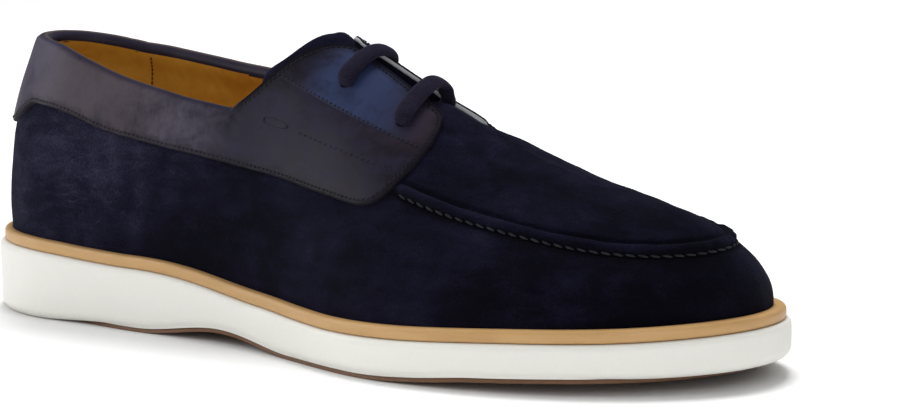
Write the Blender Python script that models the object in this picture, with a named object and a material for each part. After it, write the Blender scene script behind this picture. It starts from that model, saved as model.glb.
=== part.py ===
"""A man's casual dress shoe, right foot: suede moc-toe upper, leather saddle band, white wedge sole.

The shoe stands on the ground plane with its toe along +X and its inner (medial) side along +Y.
Sizes are in millimetres, and MM turns them into Blender's metres. A place on the upper is given by
three numbers: way, the share of the way from the middle of the heel (0) to the tip of the toe (1);
side, LATERAL or MEDIAL; and girth, the share of the way from the sole (0) up to the ridge (1).
"""

import math

import bmesh
import bpy
import numpy as np
from mathutils import Matrix, Vector

MM = 0.001
LATERAL, MEDIAL = -1, 1
SHARP_DEGREES = 35

# Sole
SOLE_LENGTH = 300.0
HEEL_ROUND = 44.0
TOE_ROUND = 82.0
TOE_SQUARE = 2.1
HEEL_TOP, FORE_TOP = 21.5, 14.3
WEDGE_START, WEDGE_END = 81.0, 147.0
ARCH_START, ARCH_PEAK, ARCH_END, ARCH_RISE = 83.0, 110.0, 143.0, 3.3
TOE_SPRING_START, TOE_SPRING = 215.0, 7.1
TOE_TOP_SHARE = 0.8
OUTSOLE_THICK, OUTSOLE_EASE = 1.8, 0.4
OUTSOLE_INSET_HEEL, OUTSOLE_INSET_FORE, OUTSOLE_INSET_TOE = 5.4, 1.7, 3.5
HEEL_LIP_START, HEEL_LIP_END = 40.0, 70.0
FORE_LIP, FLOOR_GAP = 0.6, 0.2
FOOT_ROUND, FOOT_ROUND_INSET = 3.4, 2.6
BEVEL_HEIGHT, BEVEL_INSET = 2.2, 1.5
INSOLE_THICK = 3.0
WELT_HEIGHT, WELT_ROUND = 4.1, 1.2
WELT_INSET, WELT_CLEAR = 1.6, 1.1

# Upper
GAP, FOOT_GAP = 0.3, 0.4
WALL = 2.2
BAND = 1.4
EYESTAY_STEP, EYESTAY_BEVEL, FLAP_CLEAR = 0.6, 0.025, 0.15
FLAP_START = (0.436, 0.456)
SPINE_REAR, SPINE_FRONT = 48.0, 262.0
SPINE_SWING = 0.6
SWELL_LOW = 0.7
FEATHER_HEEL, FEATHER_TOE, FEATHER_TURN = 4.4, 5.6, 230.0
SEAM_RISE, SEAM_EASE, PLUG_RISE = 2.0, 0.35, 0.5
APRON_START, SEAM_START, SEAM_FULL = 0.500, 0.600, 0.630
SEAM_WIDTH, QUARTER_SPLIT, QUARTER_STEP = 0.030, 0.55, 0.12
SEAM_PROFILE = [0.3, 1.0, 0.9, 0.4]
THROAT_CLOSING, THROAT_END = 0.571, 0.600
ROLL_THICK = 1.9
ROLL_END, BAND_CORNER = 0.428, 0.432
FOLD_SHARE, FOLD_CLEAR, LIP_SHARE = 0.035, 0.004, 0.028
TONGUE_THICK, TONGUE_LIFT, TONGUE_FREE = 1.8, 2.2, (0.490, 0.425)
TONGUE_HALF, TONGUE_TAPER = 0.36, 0.10
TONGUE_REAR, TONGUE_FRONT, TONGUE_CORNER = 130.5, 202.0, 8.0
LACE_WIDTH, LACE_THICK, LACE_NECK = 6.2, 3.4, 3.0
LACE_SIDES, LACE_CLEAR = 8, 0.4
HOLE_RADIUS, HOLE_SIDES, HOLE_REACH = 2.3, 8, 9.0
LACE_END = WALL + 2 * GAP
TONGUE_DROP = LACE_END + 2 * GAP

# Steps round the shoe, and up its wall
TURNS = 60
WALL_ROWS, SEAM_ROWS, PLUG_ROWS = 4, 3, 5
BAND_ROWS, EYESTAY_ROWS, FRONT_COLUMNS, TONGUE_STEPS = 3, 5, 11, 11
COLLAR_WAYS = [ROLL_END * i / 17 for i in range(18)]
FLAP_WAYS = [0.438, 0.448, 0.458, 0.468, 0.480, 0.496, 0.514, 0.535, 0.556, 0.574, 0.590, 0.606, 0.625]
FLAP_FRONT_COLUMN = 7
TOE_WAYS = [FLAP_WAYS[-1] + (1 - FLAP_WAYS[-1]) * i / 12 for i in range(1, 13)]


def spline(stations, values):
    """A natural cubic spline through the values, held level past its ends."""
    x, y = np.array(stations, float), np.array(values, float)
    count, step = len(x), np.diff(x)
    matrix, right = np.eye(count), np.zeros(count)
    for i in range(1, count - 1):
        matrix[i, i - 1 : i + 2] = step[i - 1], 2 * (step[i - 1] + step[i]), step[i]
        right[i] = 6 * ((y[i + 1] - y[i]) / step[i] - (y[i] - y[i - 1]) / step[i - 1])
    bend = np.linalg.solve(matrix, right)

    def at(where):
        where = np.clip(np.asarray(where, float), x[0], x[-1])
        i = np.clip(np.searchsorted(x, where) - 1, 0, count - 2)
        s, h = where - x[i], step[i]
        slope = (y[i + 1] - y[i]) / h - h * (2 * bend[i] + bend[i + 1]) / 6
        return y[i] + s * slope + bend[i] * s**2 / 2 + (bend[i + 1] - bend[i]) * s**3 / (6 * h)

    return at


def steady(stations, values):
    """A smooth curve through the values that never swings past them."""
    x, y = np.array(stations, float), np.array(values, float)
    step, chord = np.diff(x), np.diff(y) / np.diff(x)
    slope = np.zeros(len(x))
    same_way = chord[:-1] * chord[1:] > 0
    near, far = 2 * step[1:] + step[:-1], step[1:] + 2 * step[:-1]
    safe = np.where(same_way, chord[:-1] * chord[1:], 1)
    mean = (near + far) * safe / (near * chord[1:] + far * chord[:-1] + (~same_way))
    slope[1:-1] = np.where(same_way, mean, 0)
    slope[-1] = chord[-1]

    def at(where):
        where = np.clip(np.asarray(where, float), x[0], x[-1])
        i = np.clip(np.searchsorted(x, where) - 1, 0, len(x) - 2)
        h = step[i]
        s = (where - x[i]) / h
        start = (1 + 2 * s) * (1 - s) ** 2 * y[i] + s * (1 - s) ** 2 * h * slope[i]
        return start + s**2 * (3 - 2 * s) * y[i + 1] + s**2 * (s - 1) * h * slope[i + 1]

    return at


def table(columns, rows, curve=spline):
    """A curve for each named column of a table, over the table's first column."""
    stations = [row[0] for row in rows]
    return {name: curve(stations, [row[i] for row in rows]) for i, name in enumerate(columns) if i}


# Plan of the sole's edge: the middle line swings inwards, and half is half its width.
PLAN = table(
    ("x", "centre", "half"),
    [
        (0, 0.0, 38.0),
        (40, 0.0, 38.4),
        (75, -0.4, 38.6),
        (105, -1.8, 37.6),
        (135, -4.2, 38.6),
        (165, -6.2, 45.5),
        (195, -6.0, 53.0),
        (225, -2.4, 55.0),
        (255, 0.8, 54.5),
        (300, 5.0, 54.0),
    ],
)

# Sections of the last: ridge height and how wide it crowns, wall rise and how far it bulges.
SECTION = table(
    ("x", "ridge", "crown", "rise", "bulge"),
    [
        (0, 122.0, 28, 34, 2.6),
        (60, 118.0, 30, 32, 2.6),
        (100, 109.0, 30, 28, 1.0),
        (140, 96.8, 26, 24, 0.0),
        (180, 81.2, 23, 22, 1.0),
        (220, 63.6, 22, 20, 2.0),
        (262, 51.6, 21, 16, 2.5),
        (300, 44.0, 20, 15, 1.5),
    ],
)

# Edges of the band on the quarter: girth of its lower edge and of the topline on each side.
EDGES = table(
    ("way", "low", "lateral", "medial"),
    [
        (0.000, 0.345, 0.552, 0.552),
        (0.060, 0.352, 0.552, 0.549),
        (0.120, 0.380, 0.550, 0.540),
        (0.200, 0.413, 0.545, 0.522),
        (0.250, 0.410, 0.526, 0.520),
        (0.320, 0.385, 0.506, 0.526),
        (0.370, 0.381, 0.503, 0.540),
        (0.428, 0.396, 0.524, 0.556),
        (0.446, 0.402, 0.680, 0.690),
        (0.460, 0.407, 0.792, 0.810),
        (0.476, 0.412, 0.918, 0.920),
        (0.490, 0.416, 0.964, 0.955),
        (0.519, 0.422, 0.948, 0.950),
        (0.564, 0.433, 0.911, 0.940),
        (0.604, 0.440, 0.875, 0.930),
    ],
    steady,
)

# The flap's front edge, from the band's lower edge round to the throat.
FLAP_FRONT = table(
    ("share", "low_way", "low_girth", "top_way"),
    [
        (0.0, 0.530, 0.425, 0.530),
        (0.2, 0.560, 0.431, 0.548),
        (0.35, 0.575, 0.449, 0.560),
        (0.5, 0.589, 0.510, 0.571),
        (0.65, 0.601, 0.590, 0.581),
        (0.8, 0.610, 0.695, 0.591),
        (1.0, 0.610, 0.815, 0.602),
    ],
    steady,
)

# The apron seam's girth on each side, round the toe.
APRON = table(
    ("way", "lateral", "medial"),
    [
        (0.560, 0.520, 0.520),
        (0.596, 0.506, 0.508),
        (0.640, 0.492, 0.502),
        (0.700, 0.486, 0.502),
        (0.760, 0.479, 0.510),
        (0.820, 0.480, 0.522),
        (0.880, 0.496, 0.534),
        (0.940, 0.526, 0.545),
        (1.000, 0.549, 0.549),
    ],
)
EYESTAY_SEAM = table(("way", "girth"), [(0.450, 0.697), (0.500, 0.685), (0.610, 0.680)])

# Lace holes, rear and front pair: way, and girth on the lateral and the medial flap.
HOLES = [(0.512, 0.785, 0.845), (0.577, 0.745, 0.845)]


def smooth(start, end, x):
    """A smooth step from 0 at start to 1 at end."""
    s = np.clip((np.asarray(x, float) - start) / (end - start), 0, 1)
    return s * s * (3 - 2 * s)


def unit(vectors):
    return vectors / np.linalg.norm(vectors, axis=-1, keepdims=True)


def toe_lift(x):
    run = (x - TOE_SPRING_START) / (SOLE_LENGTH - TOE_SPRING_START)
    return TOE_SPRING * np.clip(run, 0, 1) ** 2


def tread_height(x):
    arch = smooth(ARCH_START, ARCH_PEAK, x) * (1 - smooth(ARCH_PEAK, ARCH_END, x))
    return ARCH_RISE * arch + toe_lift(x)


def ledge_height(x):
    drop = smooth(WEDGE_START, WEDGE_END, x)
    return HEEL_TOP + (FORE_TOP - HEEL_TOP) * drop + TOE_TOP_SHARE * toe_lift(x)


def foot_of(way):
    return SOLE_LENGTH * (1 - np.cos(np.pi * way)) / 2


def turn_of(way, side):
    """The turn round the shoe: 0 at the heel, 0.5 at the toe, lateral side first."""
    return np.where(np.asarray(side) < 0, way / 2, 1 - np.asarray(way) / 2)


def way_of(turn):
    return np.where(turn <= 0.5, 2 * turn, 2 - 2 * turn)


def sole_edge(turn):
    turn = np.mod(turn, 1)
    x = foot_of(way_of(turn))
    side = np.where(turn <= 0.5, LATERAL, MEDIAL)
    heel = np.clip((HEEL_ROUND - x) / HEEL_ROUND, 0, 1)
    toe = np.clip((x - SOLE_LENGTH + TOE_ROUND) / TOE_ROUND, 0, 1)
    full = np.sqrt(np.clip(1 - heel**2, 0, 1)) * np.sqrt(np.clip(1 - toe**TOE_SQUARE, 0, 1))
    return np.stack([x, PLAN["centre"](x) + side * PLAN["half"](x) * full], -1)


def ring_turns(count=TURNS):
    return np.arange(count) / count


def ground_point():
    """The middle of the sole's outline on the ground, where the shoe's origin lies."""
    edge = sole_edge(ring_turns())
    return np.array([*(edge.min(0) + edge.max(0)) / 2, 0.0])


ORIGIN = ground_point()


def inset_edge(turn, inset):
    """The sole's edge moved inwards."""
    step = 0.001
    along = unit(sole_edge(turn + step) - sole_edge(turn - step))
    inwards = np.stack([-along[..., 1], along[..., 0]], -1)
    return sole_edge(turn) + inwards * np.asarray(inset, float)[..., None]


def feather_inset(turn):
    x = foot_of(way_of(np.mod(turn, 1)))
    return FEATHER_HEEL + (FEATHER_TOE - FEATHER_HEEL) * smooth(FEATHER_TURN, SOLE_LENGTH, x)


def feather_line(turn):
    """Where the upper's outer face meets the midsole."""
    plan = inset_edge(turn, feather_inset(turn))
    return np.concatenate([plan, (ledge_height(plan[..., 0]) + FOOT_GAP)[..., None]], -1)


def spine_point(turn):
    x = SPINE_REAR + (SPINE_FRONT - SPINE_REAR) * foot_of(way_of(np.mod(turn, 1))) / SOLE_LENGTH
    return np.stack([x, SPINE_SWING * PLAN["centre"](x), SECTION["ridge"](x)], -1)


def spine_slope(x):
    return (SECTION["ridge"](x + 1) - SECTION["ridge"](x - 1)) / 2


def last_point(turn, girth):
    """A point of the last: a rib rises from the feather line and crowns over to the ridge."""
    turn, girth = np.broadcast_arrays(np.asarray(turn, float), np.asarray(girth, float))
    foot, top = feather_line(turn), spine_point(turn)
    outwards = unit(foot[..., :2] - top[..., :2])
    foot_x, top_x = foot[..., 0], top[..., 0]
    rise, bulge = SECTION["rise"](foot_x), SECTION["bulge"](foot_x)
    crown, slope = SECTION["crown"](top_x), spine_slope(top_x)
    level = np.zeros_like(girth)
    shoulder = foot + np.stack([level, level, rise], -1)
    flat = np.concatenate([outwards, (slope * outwards[..., 0])[..., None]], -1)
    brow = top + flat * crown[..., None]
    s = girth[..., None]
    rib = (1 - s) ** 3 * foot + 3 * (1 - s) ** 2 * s * shoulder + 3 * (1 - s) * s**2 * brow + s**3 * top
    swell = (bulge * np.sin(np.pi * np.maximum(girth, 0) ** SWELL_LOW) ** 2)[..., None]
    return rib + swell * np.concatenate([outwards, level[..., None]], -1)


def last_normal(turn, girth):
    """The last's outward normal."""
    turn, girth = np.broadcast_arrays(np.asarray(turn, float), np.asarray(girth, float))
    step = 0.001
    along = last_point(turn + step, girth) - last_point(turn - step, girth)
    up = last_point(turn, np.minimum(girth + step, 1)) - last_point(turn, girth - step)
    slope = spine_slope(spine_point(turn)[..., 0])
    ridge = unit(np.stack([-slope, np.zeros_like(slope), np.ones_like(slope)], -1))
    at_ridge = (girth > 0.995)[..., None]
    normal = np.cross(along, up)
    safe = np.where(at_ridge, ridge, normal)
    return unit(safe)


def surface(way, side, girth, offset=0.0):
    """A point over the last, offset outwards along its normal."""
    turn = turn_of(way, side)
    offset = np.asarray(offset, float)[..., None]
    return last_point(turn, girth) + offset * last_normal(turn, girth)


def topline(way, side):
    """The girth at which the upper's wall ends: the collar, the flaps and then the closed vamp."""
    girth = np.where(np.asarray(side) < 0, EDGES["lateral"](way), EDGES["medial"](way))
    return girth + (1 - girth) * smooth(THROAT_CLOSING, THROAT_END, way)


def material(name, color, roughness):
    made = bpy.data.materials.new(name)
    made.use_nodes = True
    shader = made.node_tree.nodes["Principled BSDF"]
    shader.inputs["Base Color"].default_value = (*color, 1)
    shader.inputs["Roughness"].default_value = roughness
    made.diffuse_color = (*color, 1)
    return made


def finish(name, bm, collection, look):
    """Makes an object of the mesh, welded and with its faces turned outwards."""
    bmesh.ops.remove_doubles(bm, verts=bm.verts, dist=1e-7)
    bmesh.ops.recalc_face_normals(bm, faces=bm.faces)
    mesh = bpy.data.meshes.new(name)
    bm.to_mesh(mesh)
    bm.free()
    mesh.materials.append(look)
    mesh.shade_smooth()
    mesh.set_sharp_from_angle(angle=math.radians(SHARP_DEGREES))
    obj = bpy.data.objects.new(name, mesh)
    collection.objects.link(obj)
    return obj


def add_points(bm, points):
    """Vertices for a grid of points in millimetres, as nested lists of the same shape."""
    return [[bm.verts.new((point - ORIGIN) * MM) for point in row] for row in points]


def add_sheet(bm, rows, closed=False):
    """Quads between neighbouring rows of vertices; closed joins each row's end to its start."""
    for lower, upper in zip(rows, rows[1:]):
        ends = list(zip(lower, lower[1:], upper[1:], upper))
        if closed:
            ends.append((lower[-1], lower[0], upper[0], upper[-1]))
        for corners in ends:
            if len(set(corners)) > 2:
                bm.faces.new(list(dict.fromkeys(corners)))


def add_ladder(bm, ring):
    """Closes a ring that runs round the shoe with rungs from its lateral to its medial side."""
    count = len(ring)
    for i in range(count // 2):
        left, right = ring[i : i + 2], [ring[-i % count], ring[-(i + 1) % count]]
        corners = [left[0], left[1], right[1], right[0]]
        bm.faces.new(list(dict.fromkeys(corners)))


def ring_at(turns, inset, height):
    """A ring of points round the shoe at an inset from the sole's edge; height is a function of x."""
    plan = inset_edge(turns, np.broadcast_to(inset, turns.shape))
    return np.concatenate([plan, height(plan[..., 0])[..., None]], -1)


def slab(name, rings, collection, look):
    """A solid between rings of points, closed underneath and on top."""
    bm = bmesh.new()
    rows = add_points(bm, rings)
    add_sheet(bm, rows, closed=True)
    add_ladder(bm, rows[0])
    add_ladder(bm, rows[-1])
    return finish(name, bm, collection, look)


def outsole_inset(turns):
    """The tread is let into the heel and comes out to the edge along the forefoot."""
    x = foot_of(way_of(turns))
    fore = (OUTSOLE_INSET_FORE - OUTSOLE_INSET_HEEL) * smooth(45, ARCH_START, x)
    return OUTSOLE_INSET_HEEL + fore + OUTSOLE_INSET_TOE * smooth(255, SOLE_LENGTH, x)


def make_outsole(collection, look):
    turns = ring_turns()
    inset = outsole_inset(turns)
    rings = [
        ring_at(turns, inset + OUTSOLE_EASE, tread_height),
        ring_at(turns, inset, lambda x: tread_height(x) + OUTSOLE_EASE),
        ring_at(turns, inset, lambda x: tread_height(x) + OUTSOLE_THICK),
    ]
    return slab("outsole", rings, collection, look)


def make_midsole(collection, look):
    turns = ring_turns()
    recess = outsole_inset(turns) - GAP

    def seat(x):
        return tread_height(x) + OUTSOLE_THICK + GAP

    def lip(x):
        """The edge's underside: near the floor at the heel, beside the tread along the forefoot."""
        heel_drop = OUTSOLE_THICK + GAP - FLOOR_GAP - FORE_LIP
        return seat(x) - FORE_LIP - heel_drop * (1 - smooth(HEEL_LIP_START, HEEL_LIP_END, x))

    rings = [
        ring_at(turns, recess, seat),
        ring_at(turns, recess, lip),
        ring_at(turns, np.minimum(recess - GAP, FOOT_ROUND_INSET), lip),
        ring_at(turns, FOOT_ROUND_INSET * 0.3, lambda x: lip(x) + FOOT_ROUND * 0.35),
        ring_at(turns, 0.0, lambda x: lip(x) + FOOT_ROUND),
        ring_at(turns, 0.0, lambda x: ledge_height(x) - BEVEL_HEIGHT),
        ring_at(turns, BEVEL_INSET / 3, lambda x: ledge_height(x) - BEVEL_HEIGHT * 0.3),
        ring_at(turns, BEVEL_INSET, ledge_height),
    ]
    return slab("midsole", rings, collection, look)


def make_insole(collection, look):
    turns = ring_turns()
    inset = feather_inset(turns) + WALL + 2 * GAP
    rings = [
        ring_at(turns, inset, lambda x: ledge_height(x) + GAP),
        ring_at(turns, inset, lambda x: ledge_height(x) + GAP + INSOLE_THICK),
    ]
    return slab("insole", rings, collection, look)


def make_welt(collection, look):
    """The rand: a strip with rounded outer corners round the foot of the upper."""
    turns = ring_turns()
    inner = feather_inset(turns) - WELT_CLEAR
    corners = [
        (inner, GAP),
        (WELT_INSET + WELT_ROUND * 0.4, GAP),
        (WELT_INSET, WELT_ROUND),
        (WELT_INSET, WELT_HEIGHT - WELT_ROUND),
        (WELT_INSET + WELT_ROUND * 0.6, WELT_HEIGHT - WELT_ROUND * 0.15),
        (inner, WELT_HEIGHT),
    ]
    rings = [ring_at(turns, inset, lambda x, up=up: ledge_height(x) + up) for inset, up in corners]
    bm = bmesh.new()
    rows = add_points(bm, rings)
    add_sheet(bm, [*rows, rows[0]], closed=True)
    return finish("welt", bm, collection, look)


def wall_girths(way, side):
    """The girths of one column of the upper's wall: the wall, the seam's roll and the plug."""
    top = float(topline(way, side))
    seam = float(APRON["lateral" if side < 0 else "medial"](way))
    share = float(smooth(APRON_START, SEAM_START, way))
    seam = seam * share + QUARTER_SPLIT * top * (1 - share)
    roll = SEAM_WIDTH * share + QUARTER_STEP * top * (1 - share)
    lower = np.linspace(0, seam, WALL_ROWS + 1)[:-1]
    rolled = np.linspace(seam, seam + roll, SEAM_ROWS + 1)[:-1]
    plug = np.linspace(seam + roll, top, PLUG_ROWS + 1)
    return np.concatenate([lower, rolled, plug])


def seam_raise(way):
    """How far the outer face of one column stands proud of the last, row by row."""
    full = float(smooth(SEAM_START, SEAM_FULL, way) * (1 - SEAM_EASE * smooth(0.8, 1.0, way)))
    rows = np.zeros(WALL_ROWS + SEAM_ROWS + PLUG_ROWS + 1)
    rows[WALL_ROWS : WALL_ROWS + SEAM_ROWS + 1] = np.array(SEAM_PROFILE) * SEAM_RISE
    fade = np.linspace(1, 0, PLUG_ROWS + 1)
    rows[WALL_ROWS + SEAM_ROWS :] = np.maximum(rows[WALL_ROWS + SEAM_ROWS :], PLUG_RISE * fade)
    return rows * full


def make_upper(collection, look):
    """One shell with its true wall, open at the collar, the throat and underneath."""
    outer, inner, closed = [], [], []
    ways = [*COLLAR_WAYS, *FLAP_WAYS, *TOE_WAYS]
    for way, side in [*((way, LATERAL) for way in ways), *((way, MEDIAL) for way in ways[-2:0:-1])]:
        girths = wall_girths(way, side)
        outer.append(surface(way, side, girths, seam_raise(way)))
        inner.append(surface(way, side, girths, np.full(len(girths), -WALL)))
        closed.append(math.isclose(girths[-1], 1))
    bm = bmesh.new()
    skin, lining = add_points(bm, outer), add_points(bm, inner)
    for face in (skin, lining):
        add_sheet(bm, [*face, face[0]])
    foot = [[column[0] for column in face] for face in (skin, lining)]
    add_sheet(bm, foot, closed=True)
    for i in range(len(skin)):
        j = (i + 1) % len(skin)
        if not (closed[i] and closed[j]):
            bm.faces.new([skin[i][-1], skin[j][-1], lining[j][-1], lining[i][-1]])
    return finish("upper", bm, collection, look)


def loft(name, sections, collection, look):
    """A solid through closed sections, with a face over each end."""
    bm = bmesh.new()
    rows = add_points(bm, sections)
    add_sheet(bm, rows, closed=True)
    bm.faces.new(rows[0])
    bm.faces.new(rows[-1])
    return finish(name, bm, collection, look)


def topline_of_band(way, side):
    return EDGES["lateral"](way) if side < 0 else EDGES["medial"](way)


def band_top(way, side):
    """The band's upper edge: under the roll at the collar, and the cut edge of the flap."""
    clear = smooth(ROLL_END + 0.003, ROLL_END + 0.012, way)
    return topline_of_band(way, side) - (FOLD_SHARE + FOLD_CLEAR) * (1 - clear)


def band_columns(side):
    """The lower and upper ends of each column of the band on one side, heel to throat."""
    ways = [*COLLAR_WAYS, BAND_CORNER, *FLAP_WAYS[:FLAP_FRONT_COLUMN]]
    ends = [(way, float(EDGES["low"](way)), way, float(band_top(way, side))) for way in ways]
    for share in np.linspace(0, 1, FRONT_COLUMNS):
        top_way = float(FLAP_FRONT["top_way"](share))
        low = float(FLAP_FRONT["low_way"](share)), float(FLAP_FRONT["low_girth"](share))
        ends.append((*low, top_way, float(band_top(top_way, side))))
    return ends


def band_section(low_way, low, top_way, top, side):
    """One closed section of the band, with the eyestay a step above its seam."""
    seam = float(EYESTAY_SEAM["girth"]((low_way + top_way) / 2))
    share = np.clip((seam - low) / (top - low), 0.06, 0.9)
    below = np.linspace(0, share, BAND_ROWS + 1)
    above = np.linspace(share + EYESTAY_BEVEL, 1, EYESTAY_ROWS)
    shares = np.concatenate([below, above])
    flap = float(smooth(*FLAP_START, top_way))
    step = np.where(shares > share, EYESTAY_STEP * flap, 0.0)
    ways = low_way + (top_way - low_way) * shares
    girths = low + (top - low) * shares
    outer = surface(ways, side, girths, GAP + BAND + step)
    inner = surface(ways, side, girths, np.full(len(shares), GAP + FLAP_CLEAR * flap))
    return np.concatenate([outer, inner[::-1]])


def make_band(collection, look):
    """Collar band and both lacing flaps in one piece, round the heel."""
    lateral = [band_section(*ends, LATERAL) for ends in band_columns(LATERAL)]
    medial = [band_section(*ends, MEDIAL) for ends in band_columns(MEDIAL)]
    return loft("saddle_band", [*lateral[::-1], *medial[1:]], collection, look)


def roll_section(way, side):
    """One closed section of the padded roll, which hooks over the upper's wall."""
    top = float(topline_of_band(way, side))
    turn = turn_of(way, side)
    normal = last_normal(turn, top)
    rise = unit(last_point(turn, top) - last_point(turn, top - 0.01))
    edge = last_point(turn, top)
    fold, lip = top - FOLD_SHARE, top - LIP_SHARE
    outside, inside = GAP + ROLL_THICK, -(WALL + GAP)
    section = [
        surface(way, side, fold, GAP + BAND * 0.8),
        surface(way, side, fold + 0.008, outside - 0.1),
        surface(way, side, fold + 0.022, outside + 0.2),
        edge + normal * (outside - 0.1) + rise * 0.6,
        edge + normal * (outside - 1.3) + rise * (GAP + 1.5),
        edge + normal * (-WALL / 2) + rise * (GAP + 2.0),
        edge + normal * (inside - 0.4) + rise * (GAP + 1.3),
        edge + normal * (inside - 1.3) + rise * 0.2,
        surface(way, side, lip, inside - 1.1),
        surface(way, side, lip, inside),
        edge + normal * inside + rise * GAP,
        edge + normal * GAP + rise * GAP,
        surface(way, side, fold + 0.018, GAP),
        surface(way, side, fold, GAP),
    ]
    return np.array(section)


def make_roll(collection, look):
    lateral = [roll_section(way, LATERAL) for way in COLLAR_WAYS]
    medial = [roll_section(way, MEDIAL) for way in COLLAR_WAYS]
    return loft("collar_roll", [*lateral[::-1], *medial[1:]], collection, look)


def way_at(x, side, girth):
    """The way at which a line of one girth passes x, in the throat's stretch of the shoe."""
    ways = np.linspace(0.35, 0.75, 81)
    return float(np.interp(x, surface(ways, side, np.full(len(ways), girth))[:, 0], ways))


def tongue_offset(way, side, girth):
    """The tongue lies under the flaps and lifts clear of them at its free end."""
    free = topline_of_band(way, side)
    lift = TONGUE_LIFT * smooth(*TONGUE_FREE, way) * smooth(free + 0.02, 1.05, girth)
    return lift - TONGUE_DROP


def make_tongue(collection, look):
    sections = []
    for along in np.linspace(0, 1, TONGUE_STEPS):
        upper_side, lower_side = [], []
        for place in np.linspace(-1, 1, TONGUE_STEPS):
            side = LATERAL if place < 0 else MEDIAL
            girth = 1 - (TONGUE_HALF - TONGUE_TAPER * along) * abs(place)
            corner = TONGUE_CORNER * abs(place) ** 4 * (1 - along) ** 2
            x = TONGUE_REAR + (TONGUE_FRONT - TONGUE_REAR) * along + corner
            way = way_at(x, side, girth)
            height = float(tongue_offset(way, side, girth))
            upper_side.append(surface(way, side, girth, height))
            lower_side.append(surface(way, side, girth, height - TONGUE_THICK))
        sections.append(np.array(upper_side + lower_side[::-1]))
    return loft("tongue", sections, collection, look)


def lace_section(centre, along, spine, width, thick):
    """An oval section of the lace, its width along the spine."""
    broad = unit(spine - along * np.dot(spine, along))
    proud = np.cross(along, broad)
    angles = 2 * np.pi * np.arange(LACE_SIDES) / LACE_SIDES
    across = np.cos(angles)[:, None] * broad * width / 2
    return centre + across + np.sin(angles)[:, None] * proud * thick / 2


def make_lace_bar(name, hole, collection, look):
    """A bar of lace: up through one flap, over the throat and down through the other."""
    way, *girths = hole
    rest = GAP + BAND + EYESTAY_STEP + LACE_CLEAR + LACE_THICK / 2
    steps = [
        (0.0, -LACE_END, 0),
        (0.0, -0.4, 0),
        (0.0, GAP + BAND, 0),
        (0.03, rest - 0.7, 0.45),
        (0.12, rest + 0.1, 0.9),
        (0.28, rest, 1.0),
        (0.52, rest, 1.0),
        (0.76, rest, 1.0),
        (1.0, rest, 1.0),
    ]
    stations = []
    for side, girth in zip((LATERAL, MEDIAL), girths):
        half = [(side, girth + (1 - girth) * share, height, full) for share, height, full in steps]
        stations += half if side == LATERAL else half[-2::-1]
    centres = np.array([surface(way, side, at, height) for side, at, height, _ in stations])
    along = unit(np.gradient(centres, axis=0))
    slope = float(spine_slope(spine_point(way / 2)[0]))
    spine = unit(np.array([1.0, 0.0, slope]))
    sections = []
    for centre, heading, (_, _, _, full) in zip(centres, along, stations):
        width = LACE_NECK + (LACE_WIDTH - LACE_NECK) * full
        thick = LACE_NECK + (LACE_THICK - LACE_NECK) * full
        sections.append(lace_section(centre, heading, spine, width, thick))
    return loft(name, sections, collection, look)


def make_hole_cutters(collection):
    """Four rods along the flaps' normals, one for each lace hole."""
    bm = bmesh.new()
    for way, *girths in HOLES:
        for side, girth in zip((LATERAL, MEDIAL), girths):
            normal = Vector(last_normal(turn_of(way, side), girth))
            turned = normal.to_track_quat("Z", "X").to_matrix().to_4x4()
            middle = (surface(way, side, girth) - ORIGIN) * MM
            place = Matrix.Translation(Vector(middle)) @ turned
            bmesh.ops.create_cone(
                bm,
                cap_ends=True,
                segments=HOLE_SIDES,
                radius1=HOLE_RADIUS * MM,
                radius2=HOLE_RADIUS * MM,
                depth=HOLE_REACH * MM,
                matrix=place,
            )
    mesh = bpy.data.meshes.new("lace_hole_cutters")
    bm.to_mesh(mesh)
    bm.free()
    cutters = bpy.data.objects.new("lace_hole_cutters", mesh)
    collection.objects.link(cutters)
    cutters.hide_render = True
    cutters.display_type = "WIRE"
    return cutters


def punch(obj, cutters):
    cut = obj.modifiers.new("lace_holes", "BOOLEAN")
    cut.operation = "DIFFERENCE"
    cut.object = cutters


def build():
    for obj in list(bpy.data.objects):
        bpy.data.objects.remove(obj, do_unlink=True)
    shoe = bpy.data.collections.new("dress_shoe")
    bpy.context.scene.collection.children.link(shoe)
    suede = material("navy_suede", (0.012, 0.014, 0.035), 0.95)
    leather = material("patinated_leather", (0.035, 0.035, 0.055), 0.45)
    rubber = material("white_rubber", (0.80, 0.80, 0.76), 0.6)
    tread = material("brown_rubber", (0.13, 0.075, 0.045), 0.8)
    rand = material("tan_rand", (0.60, 0.38, 0.16), 0.55)
    footbed = material("ochre_lining", (0.50, 0.25, 0.03), 0.6)
    lace = material("navy_lace", (0.015, 0.012, 0.030), 0.9)
    make_outsole(shoe, tread)
    make_midsole(shoe, rubber)
    make_insole(shoe, footbed)
    make_welt(shoe, rand)
    upper = make_upper(shoe, suede)
    band = make_band(shoe, leather)
    make_roll(shoe, leather)
    make_tongue(shoe, suede)
    for name, hole in zip(("lace_bar_rear", "lace_bar_front"), HOLES):
        make_lace_bar(name, hole, shoe, lace)
    helpers = bpy.data.collections.new("cutters")
    bpy.context.scene.collection.children.link(helpers)
    cutters = make_hole_cutters(helpers)
    punch(upper, cutters)
    punch(band, cutters)


if __name__ == "__main__":
    build()
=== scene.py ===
"""The looks of a casual dress shoe for the right foot.

A suede upper with a raised apron seam stands on a white wedge sole with a tan strip. A smooth
leather band runs round the collar and laces over the instep. Lengths are in millimetres from the
middle of the sole on the floor, with the toe along +X and the inner side along +Y, and MM turns
them into metres. A place on the upper is a way from the heel (0) to the toe (1), a side, -1 for
the lateral and 1 for the medial, and a girth from the sole (0) up to the ridge (1).
"""

from __future__ import annotations

import functools
import logging
import math
from collections.abc import Callable, Sequence
from dataclasses import dataclass, field
from enum import Enum

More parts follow.
